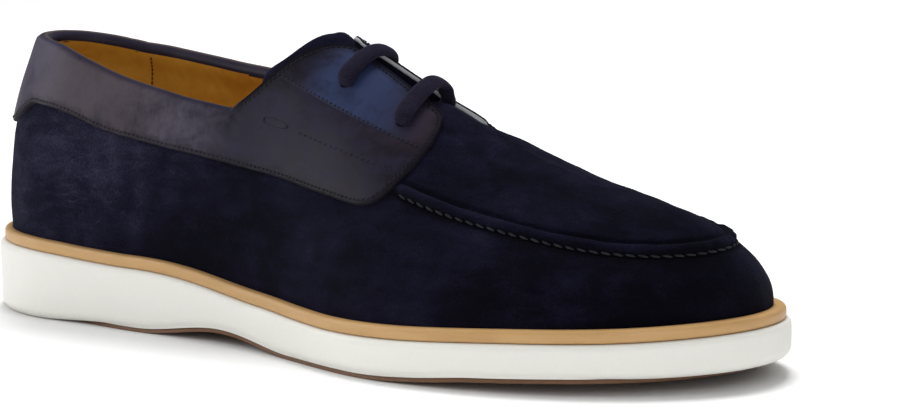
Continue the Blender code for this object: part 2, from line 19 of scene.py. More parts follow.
import bmesh
import bpy
import numpy as np
from mathutils import Matrix, Vector
from mathutils.kdtree import KDTree


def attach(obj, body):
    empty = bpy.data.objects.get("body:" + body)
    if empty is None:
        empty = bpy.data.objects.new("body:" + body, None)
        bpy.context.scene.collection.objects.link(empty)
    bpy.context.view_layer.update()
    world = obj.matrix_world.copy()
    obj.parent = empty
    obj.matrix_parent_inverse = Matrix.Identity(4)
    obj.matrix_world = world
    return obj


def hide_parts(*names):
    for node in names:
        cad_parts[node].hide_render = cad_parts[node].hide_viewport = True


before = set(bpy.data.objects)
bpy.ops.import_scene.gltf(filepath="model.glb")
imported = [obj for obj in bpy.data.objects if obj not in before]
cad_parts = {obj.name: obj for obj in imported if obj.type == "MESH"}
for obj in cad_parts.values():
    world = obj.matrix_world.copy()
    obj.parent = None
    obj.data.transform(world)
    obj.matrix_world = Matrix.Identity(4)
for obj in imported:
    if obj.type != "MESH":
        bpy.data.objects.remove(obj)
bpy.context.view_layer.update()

MM = 0.001
WELD = 1e-6  # metres within which two vertices become one
NUDGE = 0.001  # a small step of a turn or a girth, to find a slope with

Array = np.ndarray
Line = tuple[Array, Array]
Pair = tuple[float, float]
Triple = tuple[float, float, float]
Colour = Triple
Rows = Sequence[Sequence[float]]
Height = Callable[[Array], Array]
Ring = tuple[Array | float, Height]
BMesh = bmesh.types.BMesh
Material = bpy.types.Material
Socket = bpy.types.NodeSocket
log = logging.getLogger("dress_shoe")


class Fit(Enum):
    """How a curve runs between its stations."""

    NATURAL = "a natural spline"
    STEADY = "never past its values"


class Side(Enum):
    """The two sides of the shoe."""

    LATERAL = -1
    MEDIAL = 1


class Curve:
    """A smooth curve of one value over stations, held level past its ends."""

    def __init__(self, rows: Sequence[Pair], fit: Fit = Fit.NATURAL) -> None:
        """Works out the slope at each station.

        Args:
            rows: pairs of station and value, in rising order.
            fit: how the curve runs between them.
        """
        self.x, self.y = np.array(rows, float).T
        step, chord = np.diff(self.x), np.diff(self.y) / np.diff(self.x)
        if fit is Fit.NATURAL:
            self.slope = self._natural(step, chord)
        else:
            self.slope = self._steady(step, chord)

    @staticmethod
    def _natural(step: Array, chord: Array) -> Array:
        """Slopes that make the second derivative run on through each station.

        Args:
            step: the distances between the stations.
            chord: the slopes of the chords between them.

        Returns:
            The slope at each station.
        """
        count = len(step) + 1
        matrix, right = np.zeros((count, count)), np.zeros(count)
        matrix[0, :2], right[0] = (2, 1), 3 * chord[0]
        matrix[-1, -2:], right[-1] = (1, 2), 3 * chord[-1]
        for i in range(1, count - 1):
            matrix[i, i - 1 : i + 2] = step[i], 2 * (step[i - 1] + step[i]), step[i - 1]
            right[i] = 3 * (step[i] * chord[i - 1] + step[i - 1] * chord[i])
        return np.linalg.solve(matrix, right)

    @staticmethod
    def _steady(step: Array, chord: Array) -> Array:
        """Slopes that keep the curve between the values at its stations.

        Args:
            step: the distances between the stations.
            chord: the slopes of the chords between them.

        Returns:
            The slope at each station.
        """
        slope = np.zeros(len(step) + 1)
        same_way = chord[:-1] * chord[1:] > 0
        near, far = 2 * step[1:] + step[:-1], step[1:] + 2 * step[:-1]
        safe = np.where(same_way, chord[:-1] * chord[1:], 1)
        mean = (near + far) * safe / (near * chord[1:] + far * chord[:-1] + ~same_way)
        slope[1:-1] = np.where(same_way, mean, 0)
        slope[-1] = chord[-1]
        return slope

    def __call__(self, where: Array | float) -> Array:
        """The curve's value.

        Args:
            where: one or more places along the stations.

        Returns:
            The value at each.
        """
        where = np.clip(np.asarray(where, float), self.x[0], self.x[-1])
        i = np.clip(np.searchsorted(self.x, where) - 1, 0, len(self.x) - 2)
        h = self.x[i + 1] - self.x[i]
        s = (where - self.x[i]) / h
        value = (1 + 2 * s) * (1 - s) ** 2 * self.y[i] + s * (1 - s) ** 2 * h * self.slope[i]
        return value + s**2 * (3 - 2 * s) * self.y[i + 1] + s**2 * (s - 1) * h * self.slope[i + 1]


def curve(rows: Rows, fit: Fit = Fit.STEADY) -> Curve:
    """A field that starts as the curve over a table of stations and values."""
    return field(default_factory=lambda: Curve(rows, fit))


def curves(names: str, rows: Rows, fit: Fit = Fit.STEADY) -> dict[str, Curve]:
    """A field that starts as one curve for each named column of a table, over its first column.

    Args:
        names: the names of the columns after the first.
        rows: the rows of the table.
        fit: how the curves run between the rows.

    Returns:
        The field, which holds the curves by name.
    """

    def read() -> dict[str, Curve]:
        """Makes the curves."""
        stations, *columns = zip(*rows)
        return {name: Curve(list(zip(stations, values)), fit) for name, values in zip(names.split(), columns)}

    return field(default_factory=read)


def smooth(start: float, end: float, x: Array | float) -> Array:
    """A soft step at each place x, which leaves 0 at its start and reaches 1 at its end."""
    s = np.clip((np.asarray(x, float) - start) / (end - start), 0, 1)
    return s * s * (3 - 2 * s)


def dip(x: Array, centre: float | Array, width: float) -> Array:
    """A soft bell at each place x, 1 at its centre and a third of that at its half width."""
    return np.exp(-(((x - centre) / width) ** 2))


def unit(vectors: Array) -> Array:
    """The vectors at a length of 1."""
    return vectors / np.maximum(np.linalg.norm(vectors, axis=-1, keepdims=True), 1e-12)


def between(start: Array | float, end: Array | float, share: Array | float) -> Array:
    """What lies at a share of the way from one value to another."""
    return start + (end - start) * share


def powered(values: Array | float, power: float) -> Array:
    """The values raised to a power, each with its own sign."""
    return np.sign(values) * np.abs(values) ** power


def join(plan: Array, height: Array) -> Array:
    """Points from their plan and their height."""
    return np.concatenate([plan, np.asarray(height, float)[..., None]], -1)


def ripple(points: Array, size: float, seed: float = 0.0) -> Array:
    """A slow, uneven wave through space, for leather that doesn't lie quite flat.

    Args:
        points: places in millimetres.
        size: the length of a wave.
        seed: moves the pattern.

    Returns:
        A height of about -1 to 1 at each place.
    """
    x, y, z = np.moveaxis(points, -1, 0) * (2 * math.pi / size)
    first = np.sin(x + 1.3 * np.sin(0.7 * z + seed) + seed) * np.cos(0.9 * z - 0.6 * x + 2.1 * seed)
    second = np.sin(1.7 * y + 0.8 * z + 3.0 * seed) * np.cos(1.1 * x + 0.5 * y - seed)
    return 0.6 * first + 0.4 * second


@dataclass(frozen=True)
class Last:
    """The form that the shoe is built over, and the plan and heights of its sole."""

    length: float = 300.0
    centre: Pair = (150.0, -3.288)
    heel_round: float = 44.0
    toe_round: float = 82.0
    toe_square: float = 2.1
    heel_top: float = 21.5
    fore_top: float = 14.3
    wedge: Pair = (81.0, 147.0)
    arch: Triple = (85.0, 120.0, 156.0)
    arch_rise: float = 3.5
    spring_start: float = 200.0
    spring: float = 4.6
    spring_share: float = 0.8
    feather: Pair = (4.4, 5.6)
    feather_turn: float = 230.0
    foot_gap: float = 0.4
    spine: Pair = (48.0, 262.0)
    spine_swing: float = 0.6
    swell_low: float = 0.7
    plan: dict[str, Curve] = curves(
        "centre half",
        [
            (0, 0.0, 38.0), (40, 0.0, 38.4), (75, -0.4, 38.6), (105, -1.8, 37.6), (135, -4.2, 38.6),
            (165, -6.2, 45.5), (195, -6.0, 53.0), (225, -2.4, 55.0), (255, 0.8, 54.5), (300, 5.0, 54.0),
        ],
        Fit.NATURAL,
    )
    section: dict[str, Curve] = curves(
        "ridge crown rise bulge",
        [
            (0, 122.0, 28, 34, 2.6), (60, 118.0, 30, 32, 2.6), (100, 109.0, 30, 28, 1.0),
            (140, 96.8, 26, 24, 0.0), (180, 81.2, 23, 22, 1.0), (220, 63.6, 22, 20, 2.0),
            (262, 51.6, 21, 16, 2.5), (300, 44.0, 20, 15, 1.5),
        ],
        Fit.NATURAL,
    )
    trim: Curve = curve(
        [
            (8, 2.0), (30, 1.7), (46, 1.0), (60, 0.1), (82, -0.7), (114, 0), (140, 0), (159, -1.2),
            (176, -1.8), (205, -1.2), (240, -0.45), (273, -0.8), (300, -0.5),
        ]
    )
    rocker: Curve = curve([(188, 0), (212, 0.9), (232, 1.9), (252, 1.8), (266, 1.3), (280, 0.5), (296, 0)])
    settle: Curve = curve(
        [(0.445, 0), (0.475, 1.4), (0.505, 0.5), (0.540, -0.9), (0.580, -2.0), (0.605, -1.9), (0.65, 0)]
    )
    settle_girths: tuple[float, float, float, float] = (0.60, 0.80, 0.93, 1.0)
    ridge_flat: Pair = (0.985, 0.999)
    wall: float = 2.2

    def lift(self, x: Array) -> Array:
        """The toe's rise off the floor."""
        run = (x - self.spring_start) / (self.length - self.spring_start)
        return self.spring * np.clip(run, 0, 1) ** 1.5

    def tread(self, x: Array) -> Array:
        """The height of the tread over the floor."""
        start, peak, end = self.arch
        return self.arch_rise * smooth(start, peak, x) * (1 - smooth(peak, end, x)) + self.lift(x)

    def ledge(self, x: Array) -> Array:
        """The height of the wedge's top."""
        drop = smooth(*self.wedge, x)
        level = between(self.heel_top, self.fore_top, drop)
        return level + self.spring_share * self.lift(x) + self.trim(x)

    def border(self, x: Array) -> Array:
        """The height of the tread's border, which curls up off the floor beside the ball of the foot."""
        return self.tread(x) + self.rocker(x)

    def foot_x(self, turn: Array) -> Array:
        """How far along the sole a turn round the shoe is."""
        turn = np.mod(turn, 1)
        way = np.where(turn <= 0.5, 2 * turn, 2 - 2 * turn)
        return self.length * (1 - np.cos(np.pi * way)) / 2

    def turn(self, way: Array | float, side: Array | int) -> Array:
        """The turn round the shoe: 0 at the heel, 0.5 at the toe, the lateral side first."""
        return np.where(np.asarray(side) < 0, np.asarray(way) / 2, 1 - np.asarray(way) / 2)

    def edge(self, turn: Array) -> Array:
        """The plan of the sole's edge."""
        turn = np.mod(turn, 1)
        x = self.foot_x(turn)
        heel = np.clip((self.heel_round - x) / self.heel_round, 0, 1)
        toe = np.clip((x - self.length + self.toe_round) / self.toe_round, 0, 1)
        full = np.sqrt(np.clip(1 - heel**2, 0, 1)) * np.sqrt(np.clip(1 - toe**self.toe_square, 0, 1))
        y = self.plan["centre"](x) + np.where(turn <= 0.5, -1, 1) * self.plan["half"](x) * full
        return np.stack([x, y], -1)

    def inset(self, turn: Array, depth: Array | float) -> Array:
        """The plan of the sole's edge moved inwards.

        Args:
            turn: turns round the shoe.
            depth: how far in.

        Returns:
            Plan points, not yet measured from the middle of the sole.
        """
        along = unit(self.edge(turn + NUDGE) - self.edge(turn - NUDGE))
        inwards = np.stack([-along[..., 1], along[..., 0]], -1)
        return self.edge(turn) + inwards * (np.zeros_like(turn) + depth)[..., None]

    def ring(self, turn: Array, depth: Array | float, height: Height) -> Array:
        """Points round the sole, at a depth in from its edge and a height that changes along it."""
        plan = self.inset(turn, depth)
        return join(plan, height(plan[..., 0])) - self.origin

    @property
    def origin(self) -> Array:
        """The middle of the sole on the floor."""
        return np.array([*self.centre, 0.0])

    def feather_depth(self, turn: Array) -> Array:
        """How far in from the sole's edge the upper stands."""
        heel, toe = self.feather
        return between(heel, toe, smooth(self.feather_turn, self.length, self.foot_x(turn)))

    def ridge_x(self, turn: Array | float) -> Array:
        """How far from the heel the ridge over a turn is."""
        start, end = self.spine
        return start + (end - start) * self.foot_x(turn) / self.length

    def _ridge_point(self, turn: Array) -> Array:
        """The ridge over a turn, not yet measured from the middle of the sole."""
        x = self.ridge_x(turn)
        return join(np.stack([x, self.spine_swing * self.plan["centre"](x)], -1), self.section["ridge"](x))

    def _point(self, turn: Array, girth: Array) -> Array:
        """A rib's point: up from the sole's edge and over to the ridge.

        Args:
            turn: turns round the shoe.
            girth: girths up the rib.

        Returns:
            The points, not yet measured from the middle of the sole.
        """
        plan = self.inset(turn, self.feather_depth(turn))
        foot = join(plan, self.ledge(plan[..., 0]) + self.foot_gap)
        top = self._ridge_point(turn)
        outwards = unit(foot[..., :2] - top[..., :2])
        shoulder = foot + join(np.zeros_like(plan), self.section["rise"](foot[..., 0]))
        slope = self.ridge_slope(top[..., 0])
        crown = self.section["crown"](top[..., 0])[..., None]
        brow = top + join(outwards, slope * outwards[..., 0]) * crown
        s = girth[..., None]
        rib = (1 - s) ** 3 * foot + 3 * (1 - s) ** 2 * s * shoulder + 3 * (1 - s) * s**2 * brow + s**3 * top
        rib[..., 2] += self.settled(turn, girth)
        bulge = self.section["bulge"](foot[..., 0])
        swell = bulge * np.sin(np.pi * np.maximum(girth, 0) ** self.swell_low) ** 2
        return rib + swell[..., None] * join(outwards, np.zeros(turn.shape))

    def settled(self, turn: Array, girth: Array) -> Array:
        """How far the medial flap rises at its rear, over the tongue, and settles at its front."""
        way = np.where(turn > 0.5, 2 - 2 * turn, 0)
        start, full, fade, end = self.settle_girths
        return self.settle(way) * smooth(start, full, girth) * (1 - smooth(fade, end, girth))

    def ridge_slope(self, x: Array) -> Array:
        """How steeply the ridge climbs towards the toe."""
        return (self.section["ridge"](x + 1) - self.section["ridge"](x - 1)) / 2

    def normal(self, way: Array | float, side: Array | int, girth: Array | float) -> Array:
        """The outward normal.

        Args:
            way: ways along the shoe.
            side: sides.
            girth: girths.

        Returns:
            Unit vectors.
        """
        turn, girth = np.broadcast_arrays(self.turn(way, side), np.asarray(girth, float))
        along = self._point(turn + NUDGE, girth) - self._point(turn - NUDGE, girth)
        up = self._point(turn, np.minimum(girth + NUDGE, 1)) - self._point(turn, girth - NUDGE)
        slope = self.ridge_slope(self._ridge_point(turn)[..., 0])
        ridge = unit(np.stack([-slope, np.zeros_like(slope), np.ones_like(slope)], -1))
        share = smooth(*self.ridge_flat, girth)[..., None]
        return unit(unit(np.cross(along, up)) * (1 - share) + ridge * share)

    def surface(
        self, way: Array | float, side: Array | int, girth: Array | float, offset: Array | float = 0.0
    ) -> Array:
        """Points over the last.

        Args:
            way: ways along the shoe.
            side: sides.
            girth: girths.
            offset: how far out along the normal.

        Returns:
            The points.
        """
        turn, girth = np.broadcast_arrays(self.turn(way, side), np.asarray(girth, float))
        offset = (np.zeros(turn.shape) + offset)[..., None]
        return self._point(turn, girth) - self.origin + offset * self.normal(way, side, girth)

    def line(
        self, way: Array | float, side: Array | int, girth: Array | float, offset: Array | float = 0.0
    ) -> Line:
        """Points over the last, and the normals there."""
        return self.surface(way, side, girth, offset), self.normal(way, side, girth)

    def rib_speed(self, way: Array, side: Array, girth: Array) -> Array:
        """Millimetres up a rib for each unit of girth."""
        step = 4 * NUDGE
        high = np.minimum(girth + step, 1)
        rise = self.surface(way, side, high) - self.surface(way, side, girth - step)
        return np.linalg.norm(rise, axis=-1) / (high - girth + step)

    def way_at(self, x: Array, side: Array, girth: Array) -> Array:
        """The ways at which lines of one girth pass places along the shoe.

        Args:
            x: the places along the shoe, measured from the heel.
            side: the sides.
            girth: the girths.

        Returns:
            The ways.
        """
        rear, front, tries, step = 0.35, 0.75, 12, 2 * NUDGE
        way = np.full(np.shape(x), 0.52)
        for _ in range(tries):
            here = self.surface(way, side, girth)[..., 0]
            ahead = self.surface(way + step, side, girth)[..., 0]
            way = np.clip(way + step * (x - self.centre[0] - here) / (ahead - here), rear, front)
        return way


@dataclass(frozen=True)
class Pattern:
    """Where the maker's edges and seams lie on the last."""

    collar_end: float = 0.424
    flap_start: float = 0.436
    flap_front: float = 0.530
    medial_short: float = 0.011
    throat_closing: float = 0.571
    throat_end: float = 0.600
    edges: dict[str, Curve] = curves(
        "low lateral medial",
        [
            (0.000, 0.327, 0.552, 0.552), (0.060, 0.327, 0.552, 0.549),
            (0.120, 0.329, 0.550, 0.540), (0.139, 0.341, 0.549, 0.536),
            (0.151, 0.354, 0.548, 0.533), (0.164, 0.367, 0.548, 0.529),
            (0.174, 0.380, 0.547, 0.527), (0.185, 0.393, 0.546, 0.524),
            (0.192, 0.396, 0.545, 0.522), (0.226, 0.396, 0.535, 0.521),
            (0.250, 0.393, 0.526, 0.520), (0.320, 0.372, 0.506, 0.526),
            (0.370, 0.371, 0.503, 0.540), (0.412, 0.383, 0.517, 0.549),
            (0.424, 0.388, 0.527, 0.553), (0.429, 0.391, 0.554, 0.575),
            (0.433, 0.393, 0.575, 0.600), (0.440, 0.396, 0.618, 0.640),
            (0.446, 0.399, 0.664, 0.690), (0.451, 0.402, 0.706, 0.730),
            (0.460, 0.406, 0.788, 0.805), (0.469, 0.410, 0.866, 0.875),
            (0.476, 0.412, 0.918, 0.918), (0.490, 0.416, 0.964, 0.948),
            (0.519, 0.422, 0.948, 0.928), (0.564, 0.433, 0.911, 0.888),
            (0.604, 0.440, 0.875, 0.848),
        ],
    )
    front: dict[str, Curve] = curves(
        "low_way low_girth top_way top_drop",
        [
            (0.0, 0.530, 0.425, 0.530, 0.0), (0.2, 0.560, 0.431, 0.550, 0.0),
            (0.35, 0.575, 0.449, 0.564, 0.0), (0.5, 0.588, 0.503, 0.577, 0.0),
            (0.65, 0.598, 0.575, 0.590, 0.0), (0.8, 0.605, 0.640, 0.600, 0.002),
            (0.9, 0.608, 0.680, 0.606, 0.020), (1.0, 0.610, 0.730, 0.610, 0.075),
        ],
    )
    apron: dict[str, Curve] = curves(
        "lateral medial",
        [
            (0.560, 0.520, 0.520), (0.596, 0.506, 0.508), (0.640, 0.492, 0.502), (0.700, 0.486, 0.502),
            (0.760, 0.479, 0.510), (0.820, 0.480, 0.522), (0.880, 0.496, 0.534), (0.940, 0.526, 0.545),
            (1.000, 0.549, 0.549),
        ],
        Fit.NATURAL,
    )
    eyestay: Curve = curve([(0.450, 0.697), (0.500, 0.685), (0.610, 0.680)], Fit.NATURAL)
    lower_row: Curve = curve([(0.488, 0.558), (0.560, 0.569), (0.600, 0.579)], Fit.NATURAL)
    holes: tuple[Triple, ...] = ((0.512, 0.785, 0.903), (0.577, 0.748, 0.900))
    hole_radius: float = 2.1

    def topline(self, way: Array, side: Array) -> Array:
        """The girth of the band's upper edge."""
        return np.where(np.asarray(side) < 0, self.edges["lateral"](way), self.edges["medial"](way))

    def wall_top(self, way: Array, side: Array) -> Array:
        """The girth at which the suede ends, under the band, or at the ridge where it is closed."""
        girth = self.topline(way, side)
        return between(girth, 1, smooth(self.throat_closing, self.throat_end, way))

    def seam(self, way: Array, side: Array) -> Array:
        """The girth of the apron's seam."""
        return np.where(np.asarray(side) < 0, self.apron["lateral"](way), self.apron["medial"](way))


class Tree:
    """A short way to add and join the nodes of a material or of a group."""

    def __init__(self, tree: bpy.types.NodeTree) -> None:
        """Takes the tree to add to."""
        self.tree = tree

    def add(
        self, kind: str, inputs: dict[str | int, object] | None = None, **settings: object
    ) -> bpy.types.Node:
        """Adds a node.

        Args:
            kind: the node's type.
            inputs: its inputs by name or number: a socket to join or a value to set.
            settings: its other settings.

        Returns:
            The node.
        """
        node = self.tree.nodes.new(kind)
        for name, value in settings.items():
            setattr(node, name, value)
        for name, value in (inputs or {}).items():
            self.put(node.inputs[name], value)
        return node

    def put(self, socket: Socket, value: object) -> None:
        """Joins a socket to another, or sets its value.

        Args:
            socket: the input to fill.
            value: a socket, a number, or a colour or vector.
        """
        if isinstance(value, Socket):
            self.tree.links.new(value, socket)
        elif socket.type == "RGBA" and len(value) == 3:
            socket.default_value = (*value, 1.0)
        else:
            socket.default_value = value

    def math(self, operation: str, a: object, b: object = 0.0, clamp: bool = False) -> Socket:
        """The result of a sum on one or two values."""
        return self.add("ShaderNodeMath", {0: a, 1: b}, operation=operation, use_clamp=clamp).outputs[0]

    def times(self, *values: object) -> Socket:
        """The product of some values."""
        return functools.reduce(lambda product, value: self.math("MULTIPLY", product, value), values)

    def away(self, value: object, middle: float) -> Socket:
        """How far a value is from a middle one, either way."""
        return self.math("ABSOLUTE", self.math("SUBTRACT", value, middle))

    def total(self, *terms: tuple[object, float]) -> Socket:
        """A sum of values, each times its own share.

        Args:
            terms: pairs of a value and its share.

        Returns:
            The sum.
        """
        result: object = 0.0
        for value, share in terms:
            inputs = {0: value, 1: share, 2: result}
            result = self.add("ShaderNodeMath", inputs, operation="MULTIPLY_ADD").outputs[0]
        return result

    def remap(
        self, value: object, low: float, high: float, start: float = 0.0, end: float = 1.0
    ) -> Socket:
        """A value's soft step from one range to another.

        Args:
            value: the value.
            low: the value at which the step starts.
            high: the value at which it ends, which may be the lower one.
            start: the result up to its start.
            end: the result from its end on.

        Returns:
            The result.
        """
        if high < low:
            low, high, start, end = high, low, end, start
        inputs = {"Value": value, "From Min": low, "From Max": high, "To Min": start, "To Max": end}
        return self.add("ShaderNodeMapRange", inputs, interpolation_type="SMOOTHSTEP").outputs[0]

    def blend(self, factor: object, a: object, b: object) -> Socket:
        """A mix of two colours, the second one where the factor is 1."""
        return self.add("ShaderNodeMix", {0: factor, 6: a, 7: b}, data_type="RGBA").outputs[2]

    def fineness(self, size: object) -> object:
        """The scale of a pattern whose patches have this size in millimetres."""
        return self.math("DIVIDE", 1 / MM, size) if isinstance(size, Socket) else 1 / (size * MM)

    def noise(
        self, vector: object, size: object, detail: float = 3.0, rough: float = 0.5, warp: object = 0.0
    ) -> Socket:
        """A noise of about 0.3 to 0.7.

        Args:
            vector: where it is read.
            size: the size of its patches in millimetres.
            detail: how many finer layers it has.
            rough: how strong they are.
            warp: how far it is bent out of shape.

        Returns:
            The value.
        """
        inputs = {"Vector": vector, "Scale": self.fineness(size), "Detail": detail}
        inputs |= {"Roughness": rough, "Distortion": warp}
        return self.add("ShaderNodeTexNoise", inputs).outputs[0]

    def mapped(self, vector: object, scale: Triple, turn: Triple = (0, 0, 0)) -> Socket:
        """A vector turned and stretched, for a pattern with a direction."""
        inputs = {"Vector": vector, "Scale": scale, "Rotation": [math.radians(angle) for angle in turn]}
        return self.add("ShaderNodeMapping", inputs).outputs[0]

    def painted(self, name: str) -> Socket:
        """A value painted on the piece's vertices."""
        return self.add("ShaderNodeAttribute", attribute_name=name, attribute_type="GEOMETRY").outputs["Fac"]

    def place(self) -> Socket:
        """The place in the piece's own frame, in metres."""
        return self.add("ShaderNodeTexCoord").outputs["Object"]

    def height(self, place: object) -> Socket:
        """How high a place is, in metres."""
        return self.add("ShaderNodeSeparateXYZ", {0: place}).outputs[2]

    def sheet(self) -> Socket:
        """The piece's flat coordinates."""
        return self.add("ShaderNodeTexCoord").outputs["UV"]

    def bump(self, height: object, depth: float, strength: float, over: object = None) -> Socket:
        """A normal that a height bends.

        Args:
            height: the height, from 0 to 1.
            depth: millimetres for a height of 1.
            strength: the share of the effect.
            over: a normal to add it to.

        Returns:
            The normal.
        """
        inputs = {"Height": height, "Distance": depth * MM, "Strength": strength}
        if over is not None:
            inputs["Normal"] = over
        return self.add("ShaderNodeBump", inputs).outputs[0]

    def effect(self, group: bpy.types.NodeTree, **inputs: object) -> bpy.types.bpy_prop_collection:
        """The outputs of a shared effect placed in this tree."""
        node = self.add("ShaderNodeGroup", node_tree=group)
        for name, value in inputs.items():
            self.put(node.inputs[name], value)
        return node.outputs


class Effects:
    """The effects that more than one finish uses, each a node group that is built once."""

    def __init__(self) -> None:
        """Builds them all."""
        self.clouds = self.build_clouds()
        self.nap = self.build_nap()
        self.grain = self.build_grain()
        self.rubbed_and_highlight = self.build_rubbed()
        self.scratches = self.build_scratches()
        self.twist = self.build_twist()

    @staticmethod
    def start(name: str, inputs: dict[str, float], *outputs: str) -> tuple[Tree, dict[str, Socket]]:
        """Starts a group, which also takes the place that it is read at.

        Args:
            name: the group's name.
            inputs: its number inputs and their first values.
            outputs: its outputs.

        Returns:
            Its tree, and the sockets of its inputs and outputs by name.
        """
        group = bpy.data.node_groups.new(name, "ShaderNodeTree")
        group.interface.new_socket(name="Place", in_out="INPUT", socket_type="NodeSocketVector")
        for key, value in inputs.items():
            made = group.interface.new_socket(name=key, in_out="INPUT", socket_type="NodeSocketFloat")
            made.default_value = value
        for key in outputs:
            group.interface.new_socket(name=key, in_out="OUTPUT", socket_type="NodeSocketFloat")
        tree = Tree(group)
        sockets = [*tree.add("NodeGroupInput").outputs, *tree.add("NodeGroupOutput").inputs]
        return tree, {socket.name: socket for socket in sockets}

    @classmethod
    def build_clouds(cls) -> bpy.types.NodeTree:
        """Soft uneven patches; Size is in millimetres and Contrast sharpens them."""
        tree, at = cls.start("soft_clouds", {"Size": 30.0, "Contrast": 1.0, "Warp": 0.6}, "Mask")
        noise = tree.noise(at["Place"], at["Size"], 5.0, 0.55, at["Warp"])
        sharper = tree.times(tree.math("SUBTRACT", noise, 0.5), at["Contrast"])
        tree.put(at["Mask"], tree.math("ADD", sharper, 0.5, clamp=True))
        return tree.tree

    @classmethod
    def build_nap(cls) -> bpy.types.NodeTree:
        """The short fibres of suede: a speckle, and a height for its bump."""
        tree, at = cls.start("suede_nap", {"Size": 0.6}, "Speckle", "Height")
        fine = tree.noise(at["Place"], at["Size"], 2.0, 0.7)
        broad = tree.noise(at["Place"], 3.2, 3.0, 0.6, 0.8)
        tree.put(at["Speckle"], tree.remap(fine, 0.30, 0.72))
        tree.put(at["Height"], tree.total((fine, 0.7), (broad, 0.5)))
        return tree.tree

    @classmethod
    def build_grain(cls) -> bpy.types.NodeTree:
        """The pores and fine creases of smooth leather."""
        tree, at = cls.start("leather_grain", {"Size": 0.9}, "Height", "Pores")
        cells = {"Vector": at["Place"], "Scale": tree.fineness(at["Size"]), "Randomness": 0.9}
        near = tree.add("ShaderNodeTexVoronoi", cells, feature="F1").outputs["Distance"]
        pores = tree.remap(near, 0.12, 0.0)
        skin = tree.noise(at["Place"], 2.4, 4.0, 0.6, 0.5)
        tree.put(at["Pores"], pores)
        tree.put(at["Height"], tree.total((near, 0.35), (skin, 0.65), (pores, -0.3)))
        return tree.tree

    @classmethod
    def build_rubbed(cls) -> bpy.types.NodeTree:
        """Where a cut edge has been rubbed; Edge is the distance from it in millimetres."""
        tree, at = cls.start("rubbed_edge", {"Edge": 9.0, "Width": 1.0}, "Mask")
        uneven = tree.remap(tree.noise(at["Place"], 6.0, 3.0, 0.6), 0.3, 0.7, 0.55, 1.45)
        share = tree.math("DIVIDE", at["Edge"], tree.times(at["Width"], uneven))
        tree.put(at["Mask"], tree.remap(share, 1.0, 0.25))
        return tree.tree

    @classmethod
    def build_scratches(cls) -> bpy.types.NodeTree:
        """Fine curved marks, as a brush or a finger leaves them in nap or wax."""
        tree, at = cls.start("brush_marks", {"Reach": 1.0}, "Mask")
        marks = []
        strokes = (((0, 25, 0), 26.0, 0.0), ((0, -40, 30), 19.0, 3.7), ((0, 70, 10), 31.0, 8.1))
        for turn, size, seed in strokes:
            inputs = {0: tree.mapped(at["Place"], (1.0, 1.0, 3.2), turn), 1: (seed, seed, seed)}
            moved = tree.add("ShaderNodeVectorMath", inputs, operation="ADD").outputs[0]
            wave = tree.noise(moved, size, 1.0, 0.4, 0.5)
            marks.append(tree.remap(tree.away(wave, 0.5), 0.010, 0.0))
        lines = functools.reduce(lambda some, more: tree.math("MAXIMUM", some, more), marks)
        gaps = tree.remap(tree.noise(at["Place"], 9.0, 3.0, 0.6, 0.4), 0.44, 0.62)
        tree.put(at["Mask"], tree.math("MULTIPLY", tree.times(lines, gaps), at["Reach"], clamp=True))
        return tree.tree

    @classmethod
    def build_twist(cls) -> bpy.types.NodeTree:
        """The strands of a woven lace, seen as slanting ribs that cross."""
        tree, at = cls.start("strands", {"Pitch": 1.0, "Lean": 1.0}, "Height")
        across, along = tree.add("ShaderNodeSeparateXYZ", {0: at["Place"]}).outputs[:2]
        turns = tree.math("DIVIDE", 2 * math.pi / MM, at["Pitch"])
        lean = tree.times(across, at["Lean"])
        slants = (tree.math(way, along, lean) for way in ("ADD", "SUBTRACT"))
        ribs = [tree.math("SINE", tree.times(slant, turns)) for slant in slants]
        tree.put(at["Height"], tree.remap(tree.times(*ribs), -1.0, 1.0))
        return tree.tree


class Coat(Tree):
    """The nodes of one material, with its shader and the shared effects at hand."""

    def __init__(self, effects: Effects, name: str, **fixed: object) -> None:
        """Starts the material.

        Args:
            effects: the shared effects.
            name: the material's name.
            fixed: what is the same all over the surface, by the shader's socket, with _ for a space.
        """
        self.effects = effects
        self.look = bpy.data.materials.new(name)
        self.look.use_nodes = True
        super().__init__(self.look.node_tree)
        self.shader = self.tree.nodes["Principled BSDF"]
        for key, value in fixed.items():
            self.show(key.replace("_", " "), value)

    def show(self, key: str, value: object) -> None:
        """Gives a value to one of the shader's sockets."""
        self.put(self.shader.inputs[key], value)

    def clouds(self, place: Socket, size: float, contrast: float, warp: float) -> Socket:
        """Soft uneven patches of a size in millimetres, sharpened by a contrast and bent by a warp."""
        return self.effect(self.effects.clouds, Place=place, Size=size, Contrast=contrast, Warp=warp)["Mask"]


